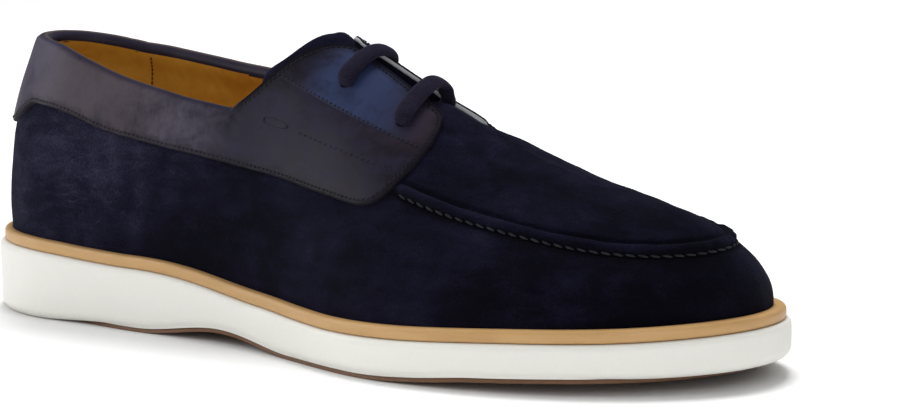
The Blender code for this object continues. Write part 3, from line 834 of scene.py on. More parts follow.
@dataclass(frozen=True)
class Suede:
    """Brushed navy suede: dark, with paler clouds and marks where the nap lies the other way."""

    deep: Colour = (0.0018, 0.0015, 0.0034)
    middle: Colour = (0.0060, 0.0055, 0.0155)
    pale: Colour = (0.052, 0.050, 0.088)

    def make(self, effects: Effects) -> Material:
        """Makes the material.

        Args:
            effects: the shared effects.

        Returns:
            The material.
        """
        coat = Coat(
            effects,
            "navy_suede",
            Roughness=0.95,
            Specular_IOR_Level=0.05,
            Sheen_Weight=0.035,
            Sheen_Roughness=0.5,
            Sheen_Tint=(0.45, 0.50, 0.85),
        )
        place = coat.place()
        wide = coat.clouds(place, 42.0, 2.6, 0.9)
        small = coat.clouds(place, 11.0, 2.2, 0.7)
        brushed = coat.mapped(place, (0.5, 1.0, 1.9), (0, 28, 0))
        strokes = coat.clouds(brushed, 9.0, 2.4, 0.4)
        marks = coat.effect(effects.scratches, Place=place, Reach=1.0)["Mask"]
        nap = coat.effect(effects.nap, Place=place, Size=0.62)
        way, apron = coat.painted("way"), coat.painted("apron")
        ridge, trench = coat.painted("ridge"), coat.painted("trench")
        heel = coat.times(coat.remap(way, 0.47, 0.27), coat.remap(way, 0.10, 0.26, 0.5, 1.0))
        toe = coat.times(coat.remap(way, 0.62, 0.92), coat.math("SUBTRACT", 1.0, apron))
        foot = coat.remap(coat.height(place), 0.058, 0.024)
        soft = coat.total((wide, 0.38), (small, 0.18), (strokes, 0.22), (nap["Speckle"], 0.22))
        # The ridge term is a painted highlight along the apron's raised seam; the trench term is painted
        # shade in the groove under it and the crease above it.
        areas = (heel, 0.19), (apron, -0.03), (toe, -0.16), (ridge, 0.10), (trench, -0.30), (foot, -0.12)
        tone = coat.total((soft, 0.80), *areas)
        marked = coat.total((tone, 1.0), (coat.times(marks, heel), 0.09), (marks, 0.05))
        low = coat.blend(coat.remap(marked, 0.12, 0.52), self.deep, self.middle)
        shown = coat.total((heel, 0.45), (apron, 0.35), (0.40, 1.0))
        colour = coat.blend(coat.times(coat.remap(marked, 0.38, 1.02), shown), low, self.pale)
        coat.show("Base Color", colour)
        folded = coat.bump(coat.noise(place, 7.0, 3.0, 0.6, 0.5), 0.35, 0.5)
        coat.show("Normal", coat.bump(nap["Height"], 0.32, 0.8, folded))
        return coat.look


@dataclass(frozen=True)
class PatinaLeather:
    """Smooth calf, dyed by hand: plum-grey round the heel, blue on the eyestay, brown along the low front."""

    dark: Colour = (0.0150, 0.0130, 0.0270)
    grey: Colour = (0.086, 0.076, 0.112)
    plum: Colour = (0.044, 0.025, 0.022)
    blue: Colour = (0.0260, 0.0370, 0.090)
    burnt: Colour = (0.0080, 0.0065, 0.0100)
    worn_front: Colour = (0.0165, 0.0145, 0.0320)
    # The tan of a painted highlight along the top of the collar roll.
    rubbed_and_highlight: Colour = (0.085, 0.062, 0.052)
    # The pale grey of a painted reflection on the inner face of the flaps' edges.
    rim_reflection: Colour = (0.60, 0.60, 0.63)
    rubbings: tuple[Pair, Pair] = ((3.6, 0.6), (0.8, 0.8))
    # Where round the collar roll the painted highlight lies, the width at which it fades out, and the width
    # at which it is full.
    rim_highlight: Triple = (0.36, 0.07, 0.03)
    sewn: Triple = (1.25, 0.0, 0.45)

    def make(self, effects: Effects) -> Material:
        """Makes the material.

        Args:
            effects: the shared effects.

        Returns:
            The material.
        """
        coat = Coat(
            effects, "patina_leather", Specular_IOR_Level=0.11, Coat_Weight=0.03, Coat_Roughness=0.3
        )
        place = coat.place()
        way, stay, edge = coat.painted("way"), coat.painted("stay"), coat.painted("edge")
        flap, rim = coat.painted("flap"), coat.painted("rim")
        wiped = coat.mapped(place, (0.8, 1.0, 1.25), (0, 12, 0))
        wide = coat.clouds(wiped, 40.0, 3.0, 0.9)
        cloth = coat.clouds(wiped, 10.0, 2.6, 1.3)
        upright = coat.mapped(place, (1.9, 1.0, 0.7), (0, -14, 0))
        streaks = coat.clouds(upright, 2.6, 2.6, 0.9)
        grain = coat.effect(effects.grain, Place=place, Size=0.75)
        scuffs = coat.effect(effects.scratches, Place=place, Reach=0.6)["Mask"]
        mottled = coat.total((wide, 0.44), (cloth, 0.36), (streaks, 0.20))
        rear_tone = coat.blend(coat.remap(mottled, 0.06, 0.88), self.dark, self.grey)
        warm = coat.times(coat.remap(way, 0.40, 0.31), coat.remap(way, 0.15, 0.27))
        warm = coat.times(warm, coat.remap(mottled, 0.15, 0.65, 0.5, 1.0))
        warm = coat.total((warm, 0.42), (cloth, 0.16))
        rear_tone = coat.blend(warm, rear_tone, self.plum)
        front_tone = coat.blend(coat.remap(mottled, 0.1, 0.8), self.burnt, self.worn_front)
        red = coat.times(coat.remap(way, 0.50, 0.60), coat.remap(wide, 0.3, 0.9))
        front_tone = coat.blend(coat.times(red, 0.35), front_tone, self.plum)
        base = coat.blend(coat.remap(way, 0.375, 0.450), rear_tone, front_tone)
        middle = coat.times(coat.remap(way, 0.470, 0.500), coat.remap(way, 0.605, 0.530))
        blued = coat.times(middle, coat.remap(mottled, 0.15, 0.65, 0.35, 1.0))
        base = coat.blend(coat.times(blued, stay), base, self.blue)
        for width, strength in self.rubbings:
            worn = coat.effect(effects.rubbed_and_highlight, Place=place, Edge=edge, Width=width)["Mask"]
            base = coat.blend(coat.times(worn, strength), base, self.burnt)
        padded = coat.math("SUBTRACT", 1.0, flap)
        over = coat.times(coat.remap(rim, 0.02, 0.20), padded)
        base = coat.blend(coat.times(over, 0.75), base, self.dark)
        # Painted highlight: a thin tan line along the top of the padded collar roll, where light catches the
        # rolled edge.
        rim_highlight = coat.remap(coat.away(rim, self.rim_highlight[0]), *self.rim_highlight[1:])
        base = coat.blend(coat.times(rim_highlight, padded, 0.8), base, self.rubbed_and_highlight)
        # Painted reflection: the inner face of each flap's edge is turned pale grey, standing in for the
        # bright room mirrored there at a grazing angle.
        inner = coat.times(coat.remap(rim, 0.26, 0.36), coat.remap(way, 0.604, 0.597), flap)
        base = coat.blend(inner, base, self.rim_reflection)
        coat.show("Base Color", base)
        rough = coat.total((cloth, 0.12), (streaks, 0.12), (scuffs, 0.2), (worn, 0.30), (0.32, 1.0))
        coat.show("Roughness", rough)
        sewn = coat.remap(coat.away(edge, self.sewn[0]), *self.sewn[1:])
        groove = coat.bump(sewn, 0.14, 0.8)
        soft = coat.bump(coat.noise(place, 14.0, 3.0, 0.55, 0.4), 0.45, 0.35, groove)
        coat.show("Normal", coat.bump(grain["Height"], 0.05, 0.7, soft))
        return coat.look


@dataclass(frozen=True)
class CalfLining:
    """Ochre lining leather, darker and redder towards the front and in uneven patches."""

    light: Colour = (0.62, 0.345, 0.048)
    dark: Colour = (0.43, 0.180, 0.007)

    def make(self, effects: Effects) -> Material:
        """Makes the material.

        Args:
            effects: the shared effects.

        Returns:
            The material.
        """
        coat = Coat(effects, "ochre_lining", Specular_IOR_Level=0.35)
        place = coat.place()
        wide = coat.clouds(place, 34.0, 2.0, 0.6)
        small = coat.clouds(place, 5.0, 1.8, 0.6)
        grain = coat.effect(effects.grain, Place=place, Size=0.9)
        front = coat.remap(coat.painted("way"), 0.18, 0.42)
        tone = coat.total((wide, 0.42), (small, 0.28), (grain["Pores"], 0.20), (front, 0.36))
        coat.show("Base Color", coat.blend(coat.remap(tone, 0.15, 0.95), self.light, self.dark))
        coat.show("Roughness", coat.total((small, 0.15), (0.50, 1.0)))
        folds = coat.bump(coat.noise(place, 18.0, 2.0, 0.5, 0.6), 0.8, 0.4)
        coat.show("Normal", coat.bump(grain["Height"], 0.07, 0.8, folds))
        return coat.look


@dataclass(frozen=True)
class Rubber:
    """Moulded rubber, faintly mottled, with dust where it has met the floor."""

    name: str
    light: Colour
    dark: Colour
    dust: Colour
    roughness: float = 0.5
    gloss: float = 0.4
    speck: float = 1.4

    def make(self, effects: Effects) -> Material:
        """Makes the material.

        Args:
            effects: the shared effects.

        Returns:
            The material.
        """
        coat = Coat(effects, self.name, Specular_IOR_Level=self.gloss)
        place = coat.place()
        wide = coat.clouds(place, 40.0, 1.6, 0.5)
        speck = coat.clouds(place, self.speck, 1.8, 0.2)
        tone = coat.total((wide, 0.6), (speck, 0.4))
        colour = coat.blend(tone, self.light, self.dark)
        low = coat.remap(coat.height(place), 0.0035, 0.0005)
        dusty = coat.times(low, coat.remap(speck, 0.2, 0.8, 0.3, 1.0), 0.4)
        coat.show("Base Color", coat.blend(dusty, colour, self.dust))
        coat.show("Roughness", coat.total((wide, 0.10), (speck, 0.08), (self.roughness - 0.09, 1.0)))
        fine = coat.bump(coat.noise(place, 0.8, 3.0, 0.6), 0.03, 0.5)
        coat.show("Normal", coat.bump(coat.noise(place, 16.0, 2.0, 0.5), 0.25, 0.3, fine))
        return coat.look


@dataclass(frozen=True)
class Rand:
    """The tan strip: smooth dyed leatherboard with faint drawn streaks."""

    light: Colour = (0.57, 0.345, 0.142)
    dark: Colour = (0.45, 0.250, 0.090)

    def make(self, effects: Effects) -> Material:
        """Makes the material.

        Args:
            effects: the shared effects.

        Returns:
            The material.
        """
        coat = Coat(effects, "tan_strip", Specular_IOR_Level=0.45)
        place = coat.place()
        drawn = coat.mapped(place, (0.35, 0.35, 2.5))
        streaks = coat.clouds(drawn, 7.0, 1.8, 0.2)
        wide = coat.clouds(place, 30.0, 1.6, 0.4)
        grain = coat.effect(effects.grain, Place=place, Size=0.7)
        tone = coat.total((streaks, 0.45), (wide, 0.35), (grain["Pores"], 0.3))
        coat.show("Base Color", coat.blend(coat.remap(tone, 0.15, 0.95), self.light, self.dark))
        coat.show("Roughness", coat.total((streaks, 0.15), (0.38, 1.0)))
        coat.show("Normal", coat.bump(grain["Height"], 0.04, 0.7))
        return coat.look


@dataclass(frozen=True)
class Cord:
    """Woven cotton cord, with ribs that slant both ways and a soft fuzz."""

    deep: Colour = (0.0036, 0.0028, 0.0075)
    light: Colour = (0.0165, 0.0135, 0.0300)
    pitch: float = 1.15
    lean: float = 1.0

    def make(self, effects: Effects) -> Material:
        """Makes the material.

        Args:
            effects: the shared effects.

        Returns:
            The material.
        """
        sheen = {"Sheen_Weight": 0.07, "Sheen_Tint": (0.6, 0.5, 0.9)}
        coat = Coat(effects, "woven_lace", Roughness=0.85, Specular_IOR_Level=0.12, **sheen)
        place = coat.place()
        ribs = coat.effect(effects.twist, Place=coat.sheet(), Pitch=self.pitch, Lean=self.lean)
        nap = coat.effect(effects.nap, Place=place, Size=0.4)
        wide = coat.clouds(place, 5.0, 2.0, 0.5)
        tone = coat.total((ribs["Height"], 0.35), (nap["Speckle"], 0.35), (wide, 0.30))
        coat.show("Base Color", coat.blend(coat.remap(tone, 0.2, 0.8), self.deep, self.light))
        woven = coat.bump(ribs["Height"], 0.20, 0.8)
        coat.show("Normal", coat.bump(nap["Height"], 0.25, 0.7, woven))
        return coat.look


@dataclass(frozen=True)
class Thread:
    """Waxed sewing thread."""

    name: str
    deep: Colour
    light: Colour
    size: float = 0.35

    def make(self, effects: Effects) -> Material:
        """Makes the material.

        Args:
            effects: the shared effects.

        Returns:
            The material.
        """
        coat = Coat(effects, self.name, Roughness=0.7, Specular_IOR_Level=0.3)
        place = coat.place()
        nap = coat.effect(effects.nap, Place=place, Size=self.size)
        wide = coat.clouds(place, 7.0, 2.2, 0.4)
        tone = coat.total((nap["Speckle"], 0.5), (wide, 0.5))
        coat.show("Base Color", coat.blend(coat.remap(tone, 0.2, 0.8), self.deep, self.light))
        coat.show("Normal", coat.bump(nap["Height"], 0.12, 0.8))
        return coat.look


@dataclass(frozen=True)
class Floor:
    """The studio's plain pale floor."""

    colour: Colour = (0.96, 0.96, 0.96)
    worn: Colour = (0.94, 0.94, 0.94)

    def make(self, effects: Effects) -> Material:
        """Makes the material.

        Args:
            effects: the shared effects.

        Returns:
            The material.
        """
        coat = Coat(effects, "pale_floor", Roughness=0.7, Specular_IOR_Level=0.0)
        mottle = coat.clouds(coat.place(), 400.0, 0.6, 0.2)
        coat.show("Base Color", coat.blend(coat.times(mottle, 0.02), self.colour, self.worn))
        return coat.look


@dataclass(frozen=True)
class Looks:
    """Every material of the shoe and its stage."""

    suede: Material
    leather: Material
    rubber: Material
    tread: Material
    welt: Material
    lining: Material
    lace: Material
    thread: Material
    apron_thread: Material
    lining_thread: Material
    floor: Material

    @classmethod
    def make(cls) -> Looks:
        """Makes them all."""
        white = (0.86, 0.855, 0.80), (0.81, 0.80, 0.745), (0.45, 0.40, 0.34)
        brown = (0.215, 0.112, 0.058), (0.130, 0.066, 0.036), (0.30, 0.20, 0.15)
        finishes = {
            "suede": Suede(),
            "leather": PatinaLeather(),
            "rubber": Rubber("white_rubber", *white),
            "tread": Rubber("brown_rubber", *brown, roughness=0.62, gloss=0.3, speck=0.9),
            "welt": Rand(),
            "lining": CalfLining(),
            "lace": Cord(),
            "thread": Thread("dark_thread", (0.004, 0.004, 0.007), (0.012, 0.012, 0.020)),
            "apron_thread": Thread("apron_thread", (0.006, 0.0065, 0.0090), (0.022, 0.023, 0.030), 0.5),
            "lining_thread": Thread("lining_thread", (0.045, 0.016, 0.004), (0.110, 0.045, 0.010)),
            "floor": Floor(),
        }
        effects = Effects()
        return cls(**{name: finish.make(effects) for name, finish in finishes.items()})


def lay(points: Array, uv: Array | None = None, masks: dict[str, Array] | None = None) -> BMesh:
    """A sheet of quads whose vertices lie on a grid of points.

    Args:
        points: the points in millimetres, column by column.
        uv: the sheet's own flat coordinates, for a pattern that follows it.
        masks: values painted on the vertices, by name.

    Returns:
        The sheet, in metres.
    """
    columns, rows = points.shape[:2]
    bm = bmesh.new()
    bmesh.ops.create_grid(bm, x_segments=columns - 1, y_segments=rows - 1, size=0.5)
    cells = np.array([vert.co.xy[:] for vert in bm.verts]) + 0.5
    i = np.rint(cells[:, 0] * (columns - 1)).astype(int)
    j = np.rint(cells[:, 1] * (rows - 1)).astype(int)
    bm.verts.ensure_lookup_table()
    for vert, place in zip(bm.verts, points[i, j] * MM):
        vert.co = place
    for name, values in (masks or {}).items():
        layer = bm.verts.layers.float.new(name)
        for vert, value in zip(bm.verts, np.broadcast_to(values, (columns, rows))[i, j]):
            vert[layer] = value
    if uv is not None:
        layer = bm.loops.layers.uv.new("sheet")
        flat = uv[i, j] * MM
        for face in bm.faces:
            for loop in face.loops:
                loop[layer].uv = flat[loop.vert.index]
    return bm


def run_lengths(points: Array, axis: int = 0) -> Array:
    """How far each point lies along its run of points.

    Args:
        points: points in millimetres.
        axis: the axis along which they run.

    Returns:
        The lengths, from 0 at the start of each run.
    """
    steps = np.linalg.norm(np.diff(points, axis=axis), axis=-1)
    start = np.zeros_like(np.take(steps, [0], axis=axis))
    return np.concatenate([start, np.cumsum(steps, axis=axis)], axis=axis)


def read_at(values: Array, reach: Array, at: Array) -> Array:
    """The values along a line, read at other lengths along it."""
    return np.stack([np.interp(at, reach, values[:, k]) for k in range(3)], -1)


def even_run(points: Array, normals: Array, pitch: float) -> tuple[Array, Array, Array]:
    """Places at an even pitch along a line over the shoe.

    Args:
        points: the line's points in millimetres.
        normals: the surface's normals there.
        pitch: how far apart the places are.

    Returns:
        The places, the directions along the line, and the normals.
    """
    reach = run_lengths(points)
    count = max(2, int(reach[-1] / pitch))
    at = (np.arange(count) + 0.5) * reach[-1] / count
    along = unit(np.gradient(points, reach, axis=0))
    places, along, normals = (read_at(values, reach, at) for values in (points, along, normals))
    return places, unit(along), unit(normals)


def turned_to(along: Array, up: Array) -> Matrix:
    """A turn that lays a shape's X along one direction and its Z near another."""
    side = unit(np.cross(up, along))
    return Matrix(np.stack([along, side, np.cross(along, side)], -1)).to_4x4()


def add_pod(bm: BMesh, place: Array, turn: Matrix, size: Triple, rounds: int) -> None:
    """Adds a rounded pod of thread.

    Args:
        bm: the mesh to add it to.
        place: its middle in millimetres.
        turn: how it is turned.
        size: its length, its width and its height.
        rounds: how often its faces are split.
    """
    scale = Matrix.Diagonal((*size, 1.0)) @ Matrix.Scale(MM, 4)
    matrix = Matrix.Translation(Vector(place * MM)) @ turn @ scale
    bmesh.ops.create_icosphere(bm, subdivisions=rounds, radius=0.5, matrix=matrix)


def add_stitches(bm: BMesh, line: Line, size: Triple, slant: float = 0.0) -> None:
    """Adds a row of thread stitches, each a small pod that dips in at both ends.

    Args:
        bm: the mesh to add them to.
        line: the points and the normals of the line that they follow.
        size: how far apart they are, how long, and how thick the thread is.
        slant: how far they turn off the line, in radians.
    """
    pitch, length, thick = size
    pressed = 1.15
    for place, along, up in zip(*even_run(*line, pitch)):
        turn = turned_to(along, up) @ Matrix.Rotation(slant, 4, "Z")
        add_pod(bm, place, turn, (length, thick * pressed, thick), 1)


def punch(bm: BMesh, centre: Array, axis: Array, radius: float, depth: float) -> None:
    """Cuts a round hole through a sheet and turns its rim down.

    Args:
        bm: the sheet.
        centre: the hole's middle.
        axis: the outward direction of the hole.
        radius: the hole's radius.
        depth: how far the rim is turned down.
    """
    middle, out, radius = Vector(centre * MM), Vector(axis), radius * MM
    layer, far, around = 1.1 * MM, 1.0, 1.9 * radius
    lip, tighter = 0.25, 0.96

    def spread(point: Vector) -> tuple[float, Vector]:
        """How far a point is from the hole's axis, and in which direction; far off for another layer."""
        away = point - middle
        height = away.dot(out)
        across = away - out * height
        return (across.length if abs(height) < layer else far), across

    near = [face for face in bm.faces if spread(face.calc_center_median())[0] < around]
    edges = list(dict.fromkeys(edge for face in near for edge in face.edges))
    bmesh.ops.subdivide_edges(bm, edges=edges, cuts=2, use_grid_fill=True)
    gone = [face for face in bm.faces if spread(face.calc_center_median())[0] < radius]
    rim = dict.fromkeys(vert for face in gone for vert in face.verts)
    bmesh.ops.delete(bm, geom=gone, context="FACES")
    rim = [vert for vert in rim if vert.is_valid]
    for vert in rim:
        across = spread(vert.co)[1]
        vert.co += across.normalized() * radius - across
    lips = [edge for edge in bm.edges if edge.is_boundary and edge.verts[0] in rim and edge.verts[1] in rim]
    for drop, shrink in ((lip, tighter), (depth - lip, 1.0)):
        made = bmesh.ops.extrude_edge_only(bm, edges=lips)["geom"]
        verts = [item for item in made if isinstance(item, bmesh.types.BMVert)]
        lips = [item for item in made if isinstance(item, bmesh.types.BMEdge) and item.is_boundary]
        bmesh.ops.translate(bm, verts=verts, vec=-out * drop * MM)
        for vert in verts:
            vert.co -= spread(vert.co)[1] * (1 - shrink)


def punch_lace_holes(bm: BMesh, last: Last, pattern: Pattern, offset: float, depth: float) -> None:
    """Welds a sheet's seams and punches the lace holes through it.

    Args:
        bm: the sheet.
        last: the shoe's last.
        pattern: the places of the holes.
        offset: how far out from the last the sheet lies.
        depth: how far the holes' rims are turned down.
    """
    bmesh.ops.remove_doubles(bm, verts=bm.verts, dist=WELD)
    for way, *girths in pattern.holes:
        for side, girth in zip(Side, girths):
            punch(bm, *last.line(way, side.value, girth, offset), pattern.hole_radius, depth)


def publish(
    bm: BMesh,
    name: str,
    look: Material,
    replaces: Sequence[str] = (),
    flip: bool = False,
    cap: bool = False,
) -> bpy.types.Object:
    """Makes a piece of the shoe from a mesh.

    Args:
        bm: the mesh, which is used up.
        name: the piece's name.
        look: its material.
        replaces: the solids that it stands for.
        flip: whether its faces are turned over.
        cap: whether its open ends are closed.

    Returns:
        The piece.
    """
    bmesh.ops.remove_doubles(bm, verts=bm.verts, dist=WELD)
    if cap:
        bmesh.ops.holes_fill(bm, edges=bm.edges, sides=0)
    if flip:
        bmesh.ops.reverse_faces(bm, faces=bm.faces)
    mesh = bpy.data.meshes.new(name)
    bm.to_mesh(mesh)
    bm.free()
    mesh.materials.append(look)
    mesh.shade_smooth()
    piece = bpy.data.objects.new(name, mesh)
    bpy.context.scene.collection.objects.link(piece)
    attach(piece, "root")
    if replaces:
        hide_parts(*replaces)
    log.info("%s: %d faces", name, len(mesh.polygons))
    return piece


@dataclass
class Sole:
    """The tread, the white wedge, the tan strip and the sock inside."""

    last: Last
    looks: Looks
    columns: int = 420
    tread_thick: float = 1.8
    gap: float = 0.3
    tread_inset: Triple = (5.4, 1.7, 5.5)
    tread_turns: Pair = (45.0, 255.0)
    tread_foot: Pair = (0.4, 0.15)
    keel_end: float = 6.0
    fore_lip: float = 0.6
    floor_gap: float = 0.2
    lip_run: Pair = (40.0, 70.0)
    foot_round: Pair = (2.6, 3.4)
    top_bevel: Pair = (1.5, 2.2)
    curl_reach: float = 24.0
    groove_pitch: float = 5.2
    groove_depth: float = 0.7
    groove_sway: Pair = (1.6, 0.42)
    groove_walls: Pair = (0.12, 0.34)
    plain_border: Pair = (5.0, 6.0)
    rail: Pair = (4.2, 0.6)
    welt_height: float = 4.1
    welt_inset: float = 1.6
    welt_lap: float = 1.0
    welt_upper: Pair = (0.62, 0.72)
    welt_lower: Pair = (0.30, 0.40)
    sock_thick: float = 3.0
    sock_dish: tuple[Pair, ...] = ((0.8, 3.4), (2.2, 3.1), (5.0, 2.9), (9.0, 2.7), (16.0, 2.6))

    @property
    def turns(self) -> Array:
        """The turns round the sole, back to the start."""
        return np.linspace(0, 1, self.columns + 1)

    def rings(self, rows: Sequence[Ring]) -> Array:
        """Points on rings round the sole, one for each depth and height."""
        return np.stack([self.last.ring(self.turns, depth, height) for depth, height in rows], 1)

    def keel(self, height: Height) -> Array:
        """Points on the middle line of the sole, where its two sides meet.

        Args:
            height: gives the height for a place along the sole.

        Returns:
            One column of points for each turn.
        """
        share = self.last.foot_x(self.turns) / self.last.length
        x = self.keel_end + (self.last.length - 2 * self.keel_end) * share
        plan = np.stack([x, self.last.plan["centre"](x)], -1)
        return (join(plan, height(x)) - self.last.origin)[:, None]

    def tread_depth(self) -> Array:
        """How far in from the sole's edge the tread's edge lies."""
        heel, fore, toe = self.tread_inset
        out, back = self.tread_turns
        x = self.last.foot_x(self.turns)
        come_out = (fore - heel) * smooth(out, self.last.arch[0], x)
        return heel + come_out + toe * smooth(back, self.last.length, x)

    def build_tread(self) -> None:
        """The brown tread, grooved in waves from side to side inside a plain border."""
        last, depth = self.last, self.tread_depth()
        shares = np.sin(np.linspace(0, 1, 45) * math.pi / 2)
        edge = last.ring(self.turns, depth, last.border)[:, None]
        flat = self.keel(last.tread) * (1 - shares[:, None]) + edge * shares[:, None]
        x, y = flat[..., 0], flat[..., 1]
        inside = np.linalg.norm(flat - edge, axis=-1)
        sway, rate = self.groove_sway
        wave = np.abs(np.sin(np.pi * (x + sway * np.sin(y * rate)) / self.groove_pitch))
        grooves = (1 - smooth(*self.groove_walls, wave)) * smooth(*self.plain_border, inside)
        rail = dip(inside, *self.rail)
        place = x + last.centre[0]
        curl = last.rocker(place) * smooth(self.curl_reach, 0.0, inside)
        flat[..., 2] = last.tread(place) + curl + self.groove_depth * np.maximum(grooves, rail)
        flat[:, 0, 2] = (flat[:, 0, 2] + flat[::-1, 0, 2]) / 2
        foot, shrink = self.tread_foot
        levels = (foot, self.tread_thick)
        wall = self.rings([(depth, lambda x, up=up: last.border(x) + up) for up in levels])
        roof = self.keel(lambda x: last.tread(x) + self.tread_thick)
        flat[:, -1, :2] += (flat[:, -2, :2] - flat[:, -1, :2]) * shrink
        points = np.concatenate([flat, wall, roof], 1)
        publish(lay(points), "tread", self.looks.tread, ["outsole"])

    def build_midsole(self) -> None:
        """The white wedge, with a rounded foot, a soft bevel and a fine ledge under the strip."""
        last = self.last
        recess = self.tread_depth() - self.gap

        def seat(x: Array) -> Array:
            """The height of the recess that the tread is let into."""
            return last.border(x) + self.tread_thick + self.gap

        def lip(x: Array) -> Array:
            """The height of the foot of the wall, near the floor at the heel."""
            drop = self.tread_thick + self.gap - self.floor_gap - self.fore_lip
            return seat(x) - self.fore_lip - drop * (1 - smooth(*self.lip_run, x))

        inwards, upwards = self.foot_round
        bevel, top = self.top_bevel

        def wall(x: Array, share: float) -> Array:
            """The height of the wall's face, from over its rounded foot up to its bevel."""
            low = lip(x) + upwards
            return between(low, last.ledge(x) - top, share)

        rows: list[Ring] = [(recess, seat), (recess, lip)]
        for angle in np.linspace(0, math.pi / 2, 7):
            depth = np.minimum(recess - self.gap, inwards * (1 - math.sin(angle)))
            rows.append((depth, lambda x, up=upwards * (1 - math.cos(angle)): lip(x) + up))
        for share in (0.25, 0.5, 0.75):
            rows.append((0.0, lambda x, share=share: wall(x, share)))
        for angle in np.linspace(0, math.pi / 2, 6):
            depth = bevel * (1 - math.cos(angle))
            rows.append((depth, lambda x, down=top * (1 - math.sin(angle)): last.ledge(x) - down))
        rows += [(bevel + 1.2, last.ledge), (bevel + 4.0, last.ledge)]
        points = np.concatenate([self.keel(seat), self.rings(rows), self.keel(last.ledge)], 1)
        publish(lay(points), "wedge", self.looks.rubber, ["midsole"])

    def build_welt(self) -> None:
        """The tan strip round the foot of the upper, full and rounded."""
        last = self.last
        inner = last.feather_depth(self.turns) + self.welt_lap
        middle = (inner + self.welt_inset) / 2
        half = (inner - self.welt_inset) / 2
        clear = self.gap * 0.3
        rows: list[Ring] = []
        for angle in np.linspace(0, 2 * math.pi, 29):
            powers = self.welt_upper if math.sin(angle) > 0 else self.welt_lower
            across = powered(math.cos(angle), powers[0])
            level = clear + self.welt_height / 2 * (1 + powered(math.sin(angle), powers[1]))
            rows.append((middle - half * across, lambda x, level=level: last.ledge(x) + level))
        publish(lay(self.rings(rows)), "welt_strip", self.looks.welt, ["welt"])

    def build_sock(self) -> None:
        """The sock that the foot stands on, dished at the heel and rolled up a little at its edge."""
        last = self.last
        edge_depth = last.feather_depth(self.turns) + last.wall + 2 * self.gap

        def under(x: Array) -> Array:
            """The height of the sock's underside."""
            return last.ledge(x) + self.gap

        rows = [(edge_depth, under)]
        for depth, up in ((0.0, self.sock_thick), *self.sock_dish):
            rows.append((edge_depth + depth, lambda x, up=up: under(x) + up))
        middle = self.keel(lambda x: under(x) + self.sock_dish[-1][1])
        points = np.concatenate([self.keel(under), self.rings(rows), middle], 1)
        publish(lay(points), "sock", self.looks.lining, ["insole"])

    def build(self) -> None:
        """Builds every layer, from the floor up."""
        self.build_tread()
        self.build_midsole()
        self.build_welt()
        self.build_sock()


